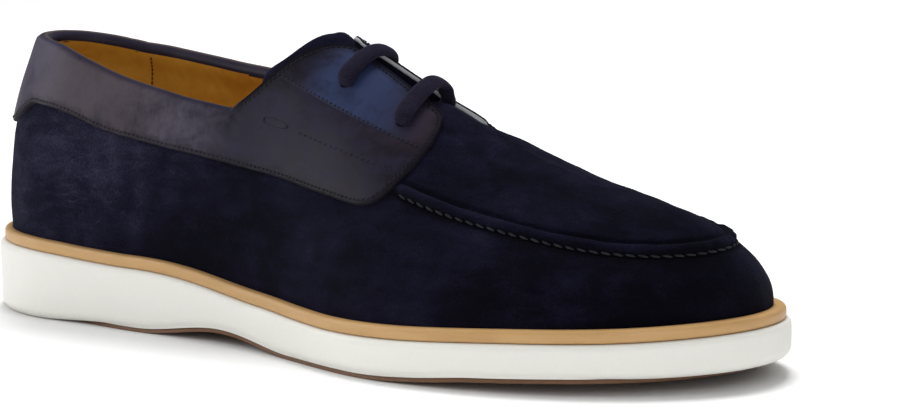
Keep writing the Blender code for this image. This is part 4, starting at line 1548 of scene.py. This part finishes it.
@dataclass
class Upper:
    """The suede shell with its raised apron seam, and the lining inside it."""

    last: Last
    pattern: Pattern
    looks: Looks
    columns: int = 400
    seam_rows: Pair = (2.2, 8.3)
    ridge_start: Pair = (0.588, 0.606)
    ridge_height: float = 2.0
    trench: float = 0.6
    crease: float = 0.10
    plug_rise: float = 0.5
    waver: tuple[Triple, Triple] = ((0.28, 46.0, 0.4), (0.14, 19.0, 2.0))
    apron_stitch: Triple = (3.6, 3.7, 0.85)
    apron_slant: float = 0.20
    collar_pad: float = 1.6
    pad_reach: float = 9.0
    pad_end: Pair = (0.425, 0.445)
    lining_seam: float = 0.2050
    lining_stitch: Triple = (1.7, 1.65, 0.55)
    lining_lag: float = 0.008
    lining_drop: float = 2.6
    lining_lip: float = 0.6

    def columns_of(self) -> tuple[Array, Array]:
        """The way and the side of each column, round the shoe from the heel and back to it."""
        turn = np.linspace(0, 1, self.columns + 1)
        way = np.where(turn <= 0.5, 2 * turn, 2 - 2 * turn)
        side = np.where(turn <= 0.5, Side.LATERAL.value, Side.MEDIAL.value)
        return way[:, None], side[:, None]

    def girths(self, way: Array, side: Array) -> tuple[Array, Array]:
        """The rows up the wall, close together over the apron's seam.

        Args:
            way: the ways of the columns.
            side: their sides.

        Returns:
            The girths, and how many millimetres each lies above the seam.
        """
        top = self.pattern.wall_top(way, side)
        share = smooth(0.50, 0.60, way)
        seam = self.pattern.seam(way, side) * share + 0.55 * top * (1 - share)
        speed = self.last.rib_speed(way, side, seam)
        under, over = self.seam_rows
        low, high = seam - under / speed, seam + over * (0.4 + 0.6 * share) / speed
        below = low * np.linspace(0, 1, 25)[:-1]
        across = between(low, high, np.linspace(0, 1, 31)[:-1])
        above = between(high, top, np.linspace(0, 1, 27))
        girth = np.concatenate([below, across, above], 1)
        return girth, (girth - seam) * speed

    def relief(self, way: Array, side: Array, above: Array, points: Array) -> Array:
        """How far the suede stands proud of the last: the apron's ridge, its trench and a soft waver.

        Args:
            way: the ways.
            side: the sides.
            above: millimetres above the seam.
            points: the bare last's points.

        Returns:
            The relief in millimetres.
        """
        full = smooth(*self.ridge_start, way) * (1 - 0.3 * smooth(0.8, 1.0, way))
        uneven = 1 + 0.10 * np.sin(way * 93 + side) + 0.06 * np.sin(way * 211)
        ridge = self.ridge_height * uneven * smooth(0.3, 1.9, above) * (1 - smooth(3.0, 4.9, above))
        crease = self.crease * dip(above, 5.2, 0.8)
        plug = self.plug_rise * smooth(4.8, 6.8, above) * (1 - smooth(9, 40, above))
        seam = ridge - crease + plug - self.trench * dip(above, 0.0, 0.95)
        soft = sum(height * ripple(points, size, seed) for height, size, seed in self.waver)
        return full * seam + soft * smooth(-40.0, -34.0, above)

    def build_shell(self) -> None:
        """The suede from the sole up to under the band, and over the toe."""
        way, side = self.columns_of()
        girth, above = self.girths(way, side)
        bare = self.last.surface(way, side, girth)
        raised = self.relief(way, side, above, bare)
        points = self.last.surface(way, side, girth, raised)
        top_girth = girth[:, -1:]
        open_top = 1 - smooth(0.985, 1.0, top_girth)
        turned = [self.last.surface(way, side, top_girth, -drop * open_top) for drop in (0.5, 1.2, 2.0)]
        points = np.concatenate([points, *turned], 1)
        above = np.concatenate([above, np.repeat(above[:, -1:], 3, 1)], 1)
        full = smooth(*self.ridge_start, way)
        masks = {
            # The ridge mask carries a painted highlight along the raised seam; the trench mask carries
            # painted shade in the groove under it and the crease above it.
            "ridge": full * smooth(0.5, 2.1, above) * (1 - smooth(3.2, 5.0, above)),
            "trench": full * dip(above, 0.0, 1.0) + 0.15 * full * dip(above, 5.3, 0.9),
            "apron": full * smooth(4.4, 6.4, above),
            "way": way,
        }
        bm = lay(points, masks=masks)
        punch_lace_holes(bm, self.last, self.pattern, 0.0, self.last.wall)
        publish(bm, "suede_shell", self.looks.suede, ["upper"])

    def pad(self, way: Array, side: Array | int, girth: Array, top: Array | float) -> Array:
        """How far the collar's padding pushes the lining in."""
        below = (top - girth) * self.last.rib_speed(way, side, girth)
        return self.collar_pad * smooth(self.pad_reach, 0.5, below) * (1 - smooth(*self.pad_end, way))

    def build_lining(self) -> None:
        """The ochre lining, from the sock up to the collar and on under the flaps."""
        way, side = self.columns_of()
        way, side = way[::2], side[::2]
        top = self.pattern.wall_top(way - self.lining_lag * smooth(0.50, 0.56, way), side)
        on_flap = smooth(0.440, 0.455, way) * (1 - smooth(0.96, 0.985, top))
        top = top - self.lining_drop * on_flap / self.last.rib_speed(way, side, top)
        girth = top * np.linspace(0.0, 1.0, 40)
        closed = smooth(0.985, 1.0, girth)
        points = self.last.surface(way, side, girth, -self.last.wall)
        soft = ripple(points, 30.0, 1.1) * 0.25 * (1 - closed)
        pad = self.pad(way, side, girth, top)
        points = self.last.surface(way, side, girth, soft - self.last.wall - pad)
        reach = run_lengths(points, 1)
        along = np.broadcast_to(run_lengths(points[:, 20:21], 0), reach.shape)
        bm = lay(points, np.stack([along, reach], -1), {"way": way})
        punch_lace_holes(bm, self.last, self.pattern, -self.last.wall, self.lining_lip)
        publish(bm, "quarter_lining", self.looks.lining, flip=True)

    def build_apron_stitches(self) -> None:
        """The heavy hand stitches that lie in the trench under the apron's ridge."""
        bm = bmesh.new()
        start, above = 0.597, 0.45
        way = np.linspace(start, 1.0, 240)
        for side in Side:
            seam = self.pattern.seam(way, side.value)
            girth = seam + above / self.last.rib_speed(way, side.value, seam)
            line = self.last.line(way, side.value, girth)
            add_stitches(bm, line, self.apron_stitch, self.apron_slant * side.value)
        publish(bm, "apron_stitches", self.looks.apron_thread)

    def build_lining_seam(self) -> None:
        """The lining's upright seam beside the heel, on each side."""
        bm = bmesh.new()
        way, foot, proud = np.array(self.lining_seam), 0.12, 0.30
        for side in Side:
            top = float(self.pattern.topline(way, side.value))
            girth = np.linspace(foot, top - 0.01, 60)
            depth = self.last.wall + proud + self.pad(way, side.value, girth, top)
            points, normals = self.last.line(way, side.value, girth, -depth)
            add_stitches(bm, (points, -normals), self.lining_stitch)
        publish(bm, "lining_stitches", self.looks.lining_thread)

    def build(self) -> None:
        """Builds the shell, its lining and its seam."""
        self.build_shell()
        self.build_lining()
        self.build_lining_seam()
        self.build_apron_stitches()


@dataclass(frozen=True)
class Top:
    """The upper ends of the band's columns.

    The value flap is 1 on the thin flap, and full falls to 0 at the flap's front edge.
    """

    way: Array
    side: int
    girth: Array
    flap: Array
    full: Array


@dataclass
class SaddleBand:
    """The smooth leather: one piece round the heel, rolled over the collar, with both lacing flaps."""

    last: Last
    pattern: Pattern
    looks: Looks
    gap: float = 0.3
    thick: float = 1.4
    eyestay_step: float = 0.08
    foot: float = 0.65
    collar_columns: int = 120
    flap_columns: int = 70
    front_columns: int = 56
    edge_round: float = 0.75
    roll_radius: float = 2.75
    roll_middle: float = -0.95
    roll_depth: float = 0.6
    flap_radius: float = 0.95
    flap_middle: float = 1.25
    flap_depth: float = 5.0
    flap_taper: float = 0.7
    flap_thinning: Pair = (0.56, 0.60)
    hole_lip: float = 0.2
    groove: float = 0.05
    waver: Triple = (0.10, 38.0, 5.0)
    collar_fullness: Pair = (0.35, 9.0)
    stitch: Triple = (1.8, 1.4, 0.52)
    lower_stitch: Triple = (2.3, 1.5, 0.5)
    loop_stitch: Triple = (0.55, 0.95, 0.40)
    edge_margin: float = 1.25
    eyestay_row: Pair = (0.452, 0.606)
    lower_row: Pair = (0.489, 0.600)
    corner_knot: Pair = (0.4275, 0.526)
    loop_ends: tuple[Pair, Pair] = ((0.456, 0.552), (0.478, 0.560))
    loop_half: float = 0.0110

    def column_ends(self, along: Array, side: int) -> tuple[Array, Array, Array, Array]:
        """The lower and the upper end of columns of the band.

        Args:
            along: 0 at the heel, 1 at the start of the flap's front and 2 at its upper corner.
            side: the side of the shoe.

        Returns:
            The way and the girth of the lower ends, and those of the upper ends.
        """
        front, edges = self.pattern.front, self.pattern.edges
        back = along <= 1
        way, share = self.pattern.flap_front * np.minimum(along, 1), np.clip(along - 1, 0, 1)
        short = self.pattern.medial_short * smooth(0.0, 0.35, share) if side > 0 else 0.0
        low_way = np.where(back, way, front["low_way"](share) - short)
        low = np.where(back, edges["low"](way), front["low_girth"](share))
        top_way = np.where(back, way, front["top_way"](share) - short)
        top = self.pattern.topline(top_way, side) - front["top_drop"](share)
        return low_way, low, top_way, top

    def rows(self, ends: tuple[Array, Array, Array, Array], side: int) -> Array:
        """The shares at which rows cross the columns, close together at the edges and the eyestay's seam.

        Args:
            ends: the ends of the columns.
            side: the side of the shoe.

        Returns:
            One row of shares for each column.
        """
        low_way, low, top_way, top = (end[:, None] for end in ends)
        share = np.linspace(0, 1, 13)
        ways, girths = between(low_way, top_way, share), between(low, top, share)
        length = run_lengths(self.last.surface(ways, side, girths), 1)[:, -1:]
        seam = self.pattern.eyestay((low_way + top_way) / 2)
        middle = np.clip((seam - low) / (top - low), 0.3, 0.8) * length
        close, apart = np.array([0.0, 0.12, 0.3, 0.55, 0.9, 1.4, 2.0, 2.8]), 1.4
        lower = between(close[-1], middle - apart, np.linspace(0, 1, 16)[1:])
        around = middle + np.array([-0.8, -0.35, 0.0, 0.35, 0.8])
        upper = between(middle + apart, length - close[-1], np.linspace(0, 1, 18)[:-1])
        near_top = length - close[::-1]
        start = np.broadcast_to(close, (len(low), len(close)))
        return np.sort(np.concatenate([start, lower, around, upper, near_top], 1), 1) / length

    def half(self, side: Side) -> dict[str, Array]:
        """One side of the band, from the heel to the front of its flap.

        Args:
            side: which side.

        Returns:
            By name, for each point of its grid: its way, its girth, whether it lies on the flap and
            on the eyestay, and how many millimetres past the eyestay's seam it lies.
        """
        start = self.pattern.collar_end / self.pattern.flap_front
        along = np.concatenate(
            [
                np.linspace(0, start, self.collar_columns)[:-1],
                np.linspace(start, 1, self.flap_columns)[:-1],
                1 + np.linspace(0, 1, self.front_columns),
            ]
        )
        ends = self.column_ends(along, side.value)
        share = self.rows(ends, side.value)
        low_way, low, top_way, top = (end[:, None] for end in ends)
        way, girth = between(low_way, top_way, share), between(low, top, share)
        flap = smooth(self.pattern.collar_end, self.pattern.flap_start, top_way)
        speed = self.last.rib_speed(way, side.value, girth)
        past_seam = (girth - self.pattern.eyestay(way)) * speed
        stay = smooth(-0.3, 0.5, past_seam) * flap
        return {"way": way, "girth": girth, "flap": flap + 0 * way, "stay": stay, "past": past_seam}

    @staticmethod
    def edge_distances(points: Array, runs: Sequence[Array]) -> Array:
        """How far each point of one side lies from the nearest of some edges.

        Args:
            points: the grid's points on the last.
            runs: the points along each edge.

        Returns:
            The distances in millimetres.
        """
        places, fine = [], 0.25
        for run in runs:
            reach = run_lengths(run)
            at = np.linspace(0, reach[-1], int(reach[-1] / fine) + 2)
            places.append(read_at(run, reach, at))
        edge = np.concatenate(places)
        tree = KDTree(len(edge))
        for index, place in enumerate(edge):
            tree.insert(place, index)
        tree.balance()
        far = [tree.find(point)[2] for point in points.reshape(-1, 3)]
        return np.array(far).reshape(points.shape[:2])

    def rim(self, top: Top, angle: float, down: float) -> Array:
        """Points round the upper edge: a padded roll on the collar, a thin cut edge on the flap.

        Args:
            top: the upper ends of the columns.
            angle: how far round the edge, 0 outside and a half turn inside.
            down: the share of the inner face that lies above the points.

        Returns:
            The points.
        """
        radius = between(self.roll_radius, self.flap_radius, top.flap)
        middle = between(self.roll_middle, self.flap_middle, top.flap)
        depth = between(self.roll_depth, self.flap_depth, top.flap)
        depth = depth * (1 - self.flap_taper * smooth(*self.flap_thinning, top.way))
        base, normal = self.last.line(top.way, top.side, top.girth)
        rise = unit(base - self.last.surface(top.way, top.side, top.girth - 0.01))
        offset = between(self.foot, middle + radius * math.cos(angle), top.full)
        height = radius * 0.85 * math.sin(angle) * top.full - down * depth
        return base + normal * offset[..., None] + rise * height[..., None]

    def half_points(self, side: Side) -> tuple[Array, dict[str, Array]]:
        """The points of one side of the band with its relief, and what is painted on it.

        Args:
            side: which side.

        Returns:
            The points, and the painted values by name.
        """
        grid = self.half(side)
        way, girth, flap = grid["way"], grid["girth"], grid["flap"]
        bare = self.last.surface(way, side.value, girth)
        under = self.edge_distances(bare, [bare[:, 0], bare[-1]])
        edge = np.minimum(under, self.edge_distances(bare, [bare[:, -1][flap[:, -1] > 0.5]]))
        lift = np.sqrt(1 - (1 - np.clip(under / self.edge_round, 0, 1)) ** 2)
        face = self.gap + self.thick + self.eyestay_step * grid["stay"]
        waver, size, seed = self.waver
        face = face - self.groove * dip(grid["past"], -0.2, 0.5) * flap + waver * ripple(bare, size, seed)
        fullness, reach = self.collar_fullness
        run = run_lengths(bare, 1)
        face = face + (1 - flap) * fullness * smooth(reach, 0.0, run[:, -1:] - run)
        points = self.last.surface(way, side.value, girth, between(self.foot, face, lift))
        low = self.last.surface(way[:, :1], side.value, girth[:, :1], -0.1)
        top = Top(way[:, -1:], side.value, girth[:, -1:], flap[:, -1:], lift[:, -1:])
        rolled = [self.rim(top, angle, 0.0) for angle in np.linspace(0, math.pi, 13)[1:]]
        rolled += [self.rim(top, math.pi, down) for down in (0.3, 0.65, 1.0)]
        points = np.concatenate([low, points, *rolled], 1)
        closing = self.last.surface(way[-1:], side.value, girth[-1:], -0.1)
        end = np.concatenate([low[-1:], closing, np.repeat(closing[:, -1:], len(rolled), 1)], 1)
        pads = np.zeros((len(way), len(rolled)))
        start = pads[:, :1]
        masks = {
            "edge": np.concatenate([start, edge, pads + edge[:, -1:] + 9 * (1 - top.flap)], 1),
            "stay": np.concatenate([start, grid["stay"], pads + top.flap], 1),
            "flap": np.concatenate([start, flap, pads + top.flap], 1),
            "rim": np.concatenate([start, 0 * edge, pads + np.linspace(0, 1, len(rolled) + 1)[1:]], 1),
            "way": np.concatenate([way[:, :1], way, pads + top.way], 1),
        }
        masks = {name: np.concatenate([values, values[-1:]], 0) for name, values in masks.items()}
        return np.concatenate([points, end], 0), masks

    def build_leather(self) -> None:
        """The leather from one flap round the heel to the other, with its punched holes."""
        (lateral, masks), (medial, more) = (self.half_points(side) for side in Side)
        points = np.concatenate([lateral[::-1], medial[1:]], 0)
        masks = {name: np.concatenate([masks[name][::-1], more[name][1:]], 0) for name in masks}
        bm = lay(points, masks=masks)
        top = self.gap + self.thick + self.eyestay_step
        punch_lace_holes(bm, self.last, self.pattern, top, top + self.hole_lip)
        publish(bm, "saddle_leather", self.looks.leather, ["saddle_band", "collar_roll"], flip=True)

    def edge_line(self, side: Side) -> Line:
        """The line of stitches inside the cut edge, from the heel round the flap to the collar.

        Args:
            side: which side.

        Returns:
            Its points and the normals there.
        """
        along = np.concatenate([np.linspace(0, 1, 500), 1 + np.linspace(0, 1, 260)[1:]])
        low_way, low, top_way, top = self.column_ends(along, side.value)
        end = np.linspace(0, 1, 40)[1:-1]
        last_way, last_girth = between(low_way[-1], top_way[-1], end), between(low[-1], top[-1], end)
        back = top_way > self.pattern.collar_end + 2 * NUDGE
        ways = np.concatenate([low_way, last_way, top_way[back][::-1]])
        girths = np.concatenate([low, last_girth, top[back][::-1]])
        points, normals = self.last.line(ways, side.value, girths)
        along_line = unit(np.gradient(points, axis=0))
        inwards = unit(np.cross(normals, along_line)) * -side.value
        past = girths - self.pattern.eyestay(ways)
        stay = smooth(-0.02, 0.02, past) * smooth(0.435, 0.455, ways)
        lifted = normals * (self.gap + self.thick + 0.05 + self.eyestay_step * stay)[:, None]
        return points + inwards * self.edge_margin + lifted, normals

    def row_line(self, side: Side, row: Curve, ways: Pair, rise: float = 0.0, lift: float = 0.0) -> Line:
        """A line of stitches across a flap.

        Args:
            side: which side of the shoe.
            row: the girth of the row over the ways.
            ways: the ways at its rear and its front end, on the lateral side.
            rise: millimetres above the row.
            lift: how far above the lower leather.

        Returns:
            Its points and the normals there.
        """
        short = self.pattern.medial_short * (side is Side.MEDIAL)
        way = np.linspace(ways[0], ways[1] - short, 160)
        girth = row(way) + rise / self.last.rib_speed(way, side.value, row(way))
        return self.last.line(way, side.value, girth, self.gap + self.thick + lift)

    def build_stitches(self) -> None:
        """The fine dark stitches inside the edges and along the eyestay."""
        bm = bmesh.new()
        for side in Side:
            eyestay = self.row_line(side, self.pattern.eyestay, self.eyestay_row, 0.5, 0.14)
            add_stitches(bm, self.edge_line(side), self.stitch)
            add_stitches(bm, eyestay, self.stitch)
            add_stitches(bm, self.row_line(side, self.pattern.lower_row, self.lower_row), self.lower_stitch)
            self.build_loop(bm, side)
            self.build_knot(bm, side, self.corner_knot, (2.0, 1.0))
        publish(bm, "band_stitches", self.looks.thread)

    def build_knot(self, bm: BMesh, side: Side, spot: Pair, size: Pair) -> None:
        """Adds a flat knot of thread.

        Args:
            bm: the mesh to add it to.
            side: which side of the shoe.
            spot: its way and its girth.
            size: its length and its width.
        """
        ways, girths = (np.array([at, at + step]) for at, step in zip(spot, (0.01, 0.003)))
        (place, ahead), (up, _) = self.last.line(ways, side.value, girths, self.gap + self.thick)
        turn = turned_to(unit(ahead - place), up)
        add_pod(bm, place, turn, (*size, 0.7), 2)

    def build_loop(self, bm: BMesh, side: Side) -> None:
        """Adds the small oval loop of thread behind the lower row, knotted at both ends.

        Args:
            bm: the mesh to add it to.
            side: which side of the shoe.
        """
        turns = np.linspace(0, 2 * math.pi, 49)
        (rear_way, rear), (front_way, front) = self.loop_ends
        share = (1 + powered(np.cos(turns), 0.6)) / 2
        girth = between(rear, front, share) + self.loop_half * powered(np.sin(turns), 0.7)
        way = between(rear_way, front_way, share)
        line = self.last.line(way, side.value, girth, self.gap + self.thick - 0.02)
        add_stitches(bm, line, self.loop_stitch)
        self.build_knot(bm, side, self.loop_ends[1], (1.5, 1.2))
        self.build_knot(bm, side, self.loop_ends[0], (0.9, 0.8))

    def build(self) -> None:
        """Builds the leather and what is sewn on it."""
        self.build_leather()
        self.build_stitches()


@dataclass
class Tongue:
    """The suede tongue that lies under the flaps."""

    last: Last
    looks: Looks
    thick: float = 1.8
    drop: float = 4.8
    lift: float = 6.6
    free: Pair = (0.500, 0.460)
    rear: float = 139.4
    front: float = 202.0
    tip: float = 0.035
    corner: float = 6.0
    sides: Pair = (26.0, 4.5)
    peak: float = 0.2
    domed: Pair = (0.76, 0.66)
    dome_reach: float = 0.22
    half: float = 0.36
    taper: float = 0.10
    squareness: float = 7.0

    def build(self) -> None:
        """Builds the tongue as one soft slab with a rounded free end."""
        turns = np.linspace(0, 1, 97) * 2 * math.pi
        across = np.cos(turns)
        deep = np.sign(np.sin(turns)) * (1 - np.abs(across) ** self.squareness) ** (1 / self.squareness)
        rings = []
        for along in np.concatenate([np.linspace(0, 0.06, 8)[:-1], np.linspace(0.06, 1, 44)]):
            rings.append(self.section(float(along), across, deep))
        points = np.stack(rings, 0)
        reach = run_lengths(points, 1)
        length = np.broadcast_to(run_lengths(points[:, 24:25], 0), reach.shape)
        bm = lay(points, np.stack([reach, length], -1), {"way": 0.55})
        publish(bm, "tongue_suede", self.looks.suede, ["tongue"], cap=True)

    def section(self, along: float, across: Array, deep: Array) -> Array:
        """One closed section across the tongue.

        Args:
            along: 0 at the free end and 1 at the front.
            across: -1 to 1 from side to side, round the section.
            deep: -1 to 1 from the lower to the upper face.

        Returns:
            The section's points.
        """
        pinch = math.sqrt(1 - (1 - min(along / self.tip, 1)) ** 2)
        away, lateral = np.abs(across), across < 0
        side = np.where(lateral, Side.LATERAL.value, Side.MEDIAL.value)
        girth = 1 - (self.half - self.taper * along) * away
        sides = np.where(lateral, *self.sides) * (np.hypot(away, self.peak) - self.peak)
        corner = (self.corner * away**8 - sides) * (1 - along) ** 2
        x = between(self.rear, self.front, along) + corner
        way = self.last.way_at(x, side, girth)
        inside = (girth - np.where(lateral, *self.domed)) / self.dome_reach
        lift = self.lift * smooth(*self.free, way) * smooth(0, 1, inside)
        offset = lift - self.drop - self.thick / 2 + deep * pinch * self.thick / 2
        return self.last.surface(way, side, girth, offset)


@dataclass
class Laces:
    """Two bars of soft woven lace that bridge the throat and dive into their holes."""

    last: Last
    pattern: Pattern
    looks: Looks
    width: float = 6.2
    thick: float = 3.1
    neck: Pair = (5.6, 2.7)
    rest: float = 3.9
    end: float = 2.8

    def build(self) -> None:
        """Builds a bar for each pair of holes."""
        for name, hole in zip(("rear", "front"), self.pattern.holes):
            self.build_bar(name, hole)

    def route(self, hole: Triple) -> tuple[Array, Array]:
        """The middle line of one bar.

        Args:
            hole: the way of its pair of holes, and the girths of the two.

        Returns:
            Its points, and how full the lace is at each.
        """
        way, *girths = hole
        rest, hidden = self.rest, [(0.0, -self.end, 0), (0.0, -0.4, 0)]
        near = [*hidden, (0.0, 1.7, 0.4), (0.03, rest - 0.7, 0.8), (0.12, rest + 0.1, 0.95)]
        near += [(0.28, rest, 1.0), (0.52, rest + 0.2, 1.0), (0.76, rest + 0.5, 1.0), (1.0, rest + 0.5, 1.0)]
        far = [*hidden, (0.02, 1.2, 0.1), (0.10, 1.9, 0.5), (0.30, rest - 0.9, 0.9), (0.6, rest, 1.0)]
        stations = []
        for side, girth, steps in zip(Side, girths, (near, far)):
            half = [(side.value, between(girth, 1, share), height, full) for share, height, full in steps]
            stations += half if side is Side.LATERAL else half[::-1]
        sides, at, heights, fulls = (np.array(column) for column in zip(*stations))
        points = self.last.surface(way, sides, at, heights)
        reach = run_lengths(points)
        dense = np.linspace(0, reach[-1], 90)
        line = np.stack([Curve(list(zip(reach, points[:, k])))(dense) for k in range(3)], -1)
        return line, np.interp(dense, reach, fulls)

    def build_bar(self, name: str, hole: Triple) -> None:
        """One bar of lace, as a woven tube of an oval section.

        Args:
            name: which bar.
            hole: the way and the girths of its holes.
        """
        line, full = self.route(hole)
        along = unit(np.gradient(line, axis=0))
        slope = float(self.last.ridge_slope(self.last.ridge_x(hole[0] / 2)))
        spine = unit(np.array([1.0, 0.0, slope]))
        broad = unit(spine - along * (along @ spine)[:, None])
        proud = np.cross(along, broad)
        angle = np.linspace(0, 2 * math.pi, 33)
        width = between(self.neck[0], self.width, full)[:, None, None] / 2
        thick = between(self.neck[1], self.thick, full)[:, None, None] / 2
        points = line[:, None] + powered(np.cos(angle), 0.8)[None, :, None] * broad[:, None] * width
        points = points + np.sin(angle)[None, :, None] * proud[:, None] * thick
        reach = run_lengths(points, 1)
        length = np.broadcast_to(run_lengths(line)[:, None], reach.shape)
        bm = lay(points, np.stack([reach, length], -1))
        publish(bm, f"lace_{name}", self.looks.lace, [f"lace_bar_{name}"], cap=True)


@dataclass
class Studio:
    """The floor, the soft lights and the camera."""

    floor_size: float = 9000.0
    lens: float = 117.04
    azimuth: float = 35.9786
    elevation: float = 8.1643
    distance: float = 981.526
    roll: float = -0.4034
    target: Triple = (2.699, 47.211, 36.255)
    lit: Triple = (0.0, 0.0, 0.04)
    room: Colour = (0.97, 0.98, 1.0)
    room_level: float = 0.20
    lights: tuple[tuple[str, Triple, float, float, bool], ...] = (
        ("overhead", (0.0, 0.1, 2.4), 3.2, 0.42, False),
        ("back_key", (-0.42, 0.78, 2.14), 1.0, 14.8, False),
        ("left_box", (-1.52, -0.85, 0.80), 1.3, 2.5, True),
        ("front_fill", (1.35, -1.25, 0.65), 1.4, 1.6, True),
    )

    def build_floor(self, look: Material) -> None:
        """A plain pale floor."""
        bm = bmesh.new()
        bmesh.ops.create_grid(bm, x_segments=4, y_segments=4, size=self.floor_size * MM / 2)
        mesh = bpy.data.meshes.new("floor")
        bm.to_mesh(mesh)
        bm.free()
        mesh.materials.append(look)
        floor = bpy.data.objects.new("floor", mesh)
        bpy.context.scene.collection.objects.link(floor)

    def build_camera(self) -> None:
        """The camera, low and in front of the lateral side."""
        azimuth, elevation = math.radians(self.azimuth), math.radians(self.elevation)
        level = math.cos(elevation)
        back = Vector((math.sin(azimuth) * level, -math.cos(azimuth) * level, math.sin(elevation)))
        data = bpy.data.cameras.new("camera")
        data.lens, data.sensor_width, data.clip_start, data.clip_end = self.lens, 36.0, 0.05, 50.0
        camera = bpy.data.objects.new("camera", data)
        turn = back.to_track_quat("Z", "Y").to_matrix() @ Matrix.Rotation(math.radians(self.roll), 3, "Z")
        place = Vector(self.target) * MM + back * self.distance * MM
        camera.matrix_world = Matrix.Translation(place) @ turn.to_4x4()
        bpy.context.scene.collection.objects.link(camera)
        bpy.context.scene.camera = camera

    def add_light(self, name: str, place: Triple, size: float, level: float, glossy: bool) -> None:
        """Adds a soft square light that faces the shoe.

        Args:
            name: its name.
            place: where it hangs, in metres.
            size: its width in metres.
            level: how bright its face is; a white wall would be 1.
            glossy: whether the shoe reflects it.
        """
        data = bpy.data.lights.new(name, "AREA")
        data.shape, data.size, data.energy = "SQUARE", size, level * math.pi * size * size
        light = bpy.data.objects.new(name, data)
        aim = (Vector(place) - Vector(self.lit)).to_track_quat("Z", "Y")
        light.matrix_world = Matrix.Translation(Vector(place)) @ aim.to_matrix().to_4x4()
        light.visible_glossy = glossy
        bpy.context.scene.collection.objects.link(light)

    def build_lights(self) -> None:
        """A broad light overhead, a bright one behind, one on each side in front, and a pale room."""
        for light in self.lights:
            self.add_light(*light)
        world = bpy.data.worlds.new("studio")
        bpy.context.scene.world = world
        world.use_nodes = True
        back = world.node_tree.nodes["Background"]
        back.inputs["Color"].default_value = (*self.room, 1.0)
        back.inputs["Strength"].default_value = self.room_level

    def build(self, looks: Looks) -> None:
        """Builds the studio."""
        bpy.context.scene.view_settings.view_transform = "Standard"
        self.build_floor(looks.floor)
        self.build_camera()
        self.build_lights()


def main() -> None:
    """Builds the shoe and the studio."""
    logging.basicConfig(level=logging.INFO, format="%(message)s")
    last, pattern, looks = Last(), Pattern(), Looks.make()
    Sole(last, looks).build()
    Upper(last, pattern, looks).build()
    SaddleBand(last, pattern, looks).build()
    Tongue(last, looks).build()
    Laces(last, pattern, looks).build()
    Studio().build(looks)


if __name__ == "__main__":
    main()
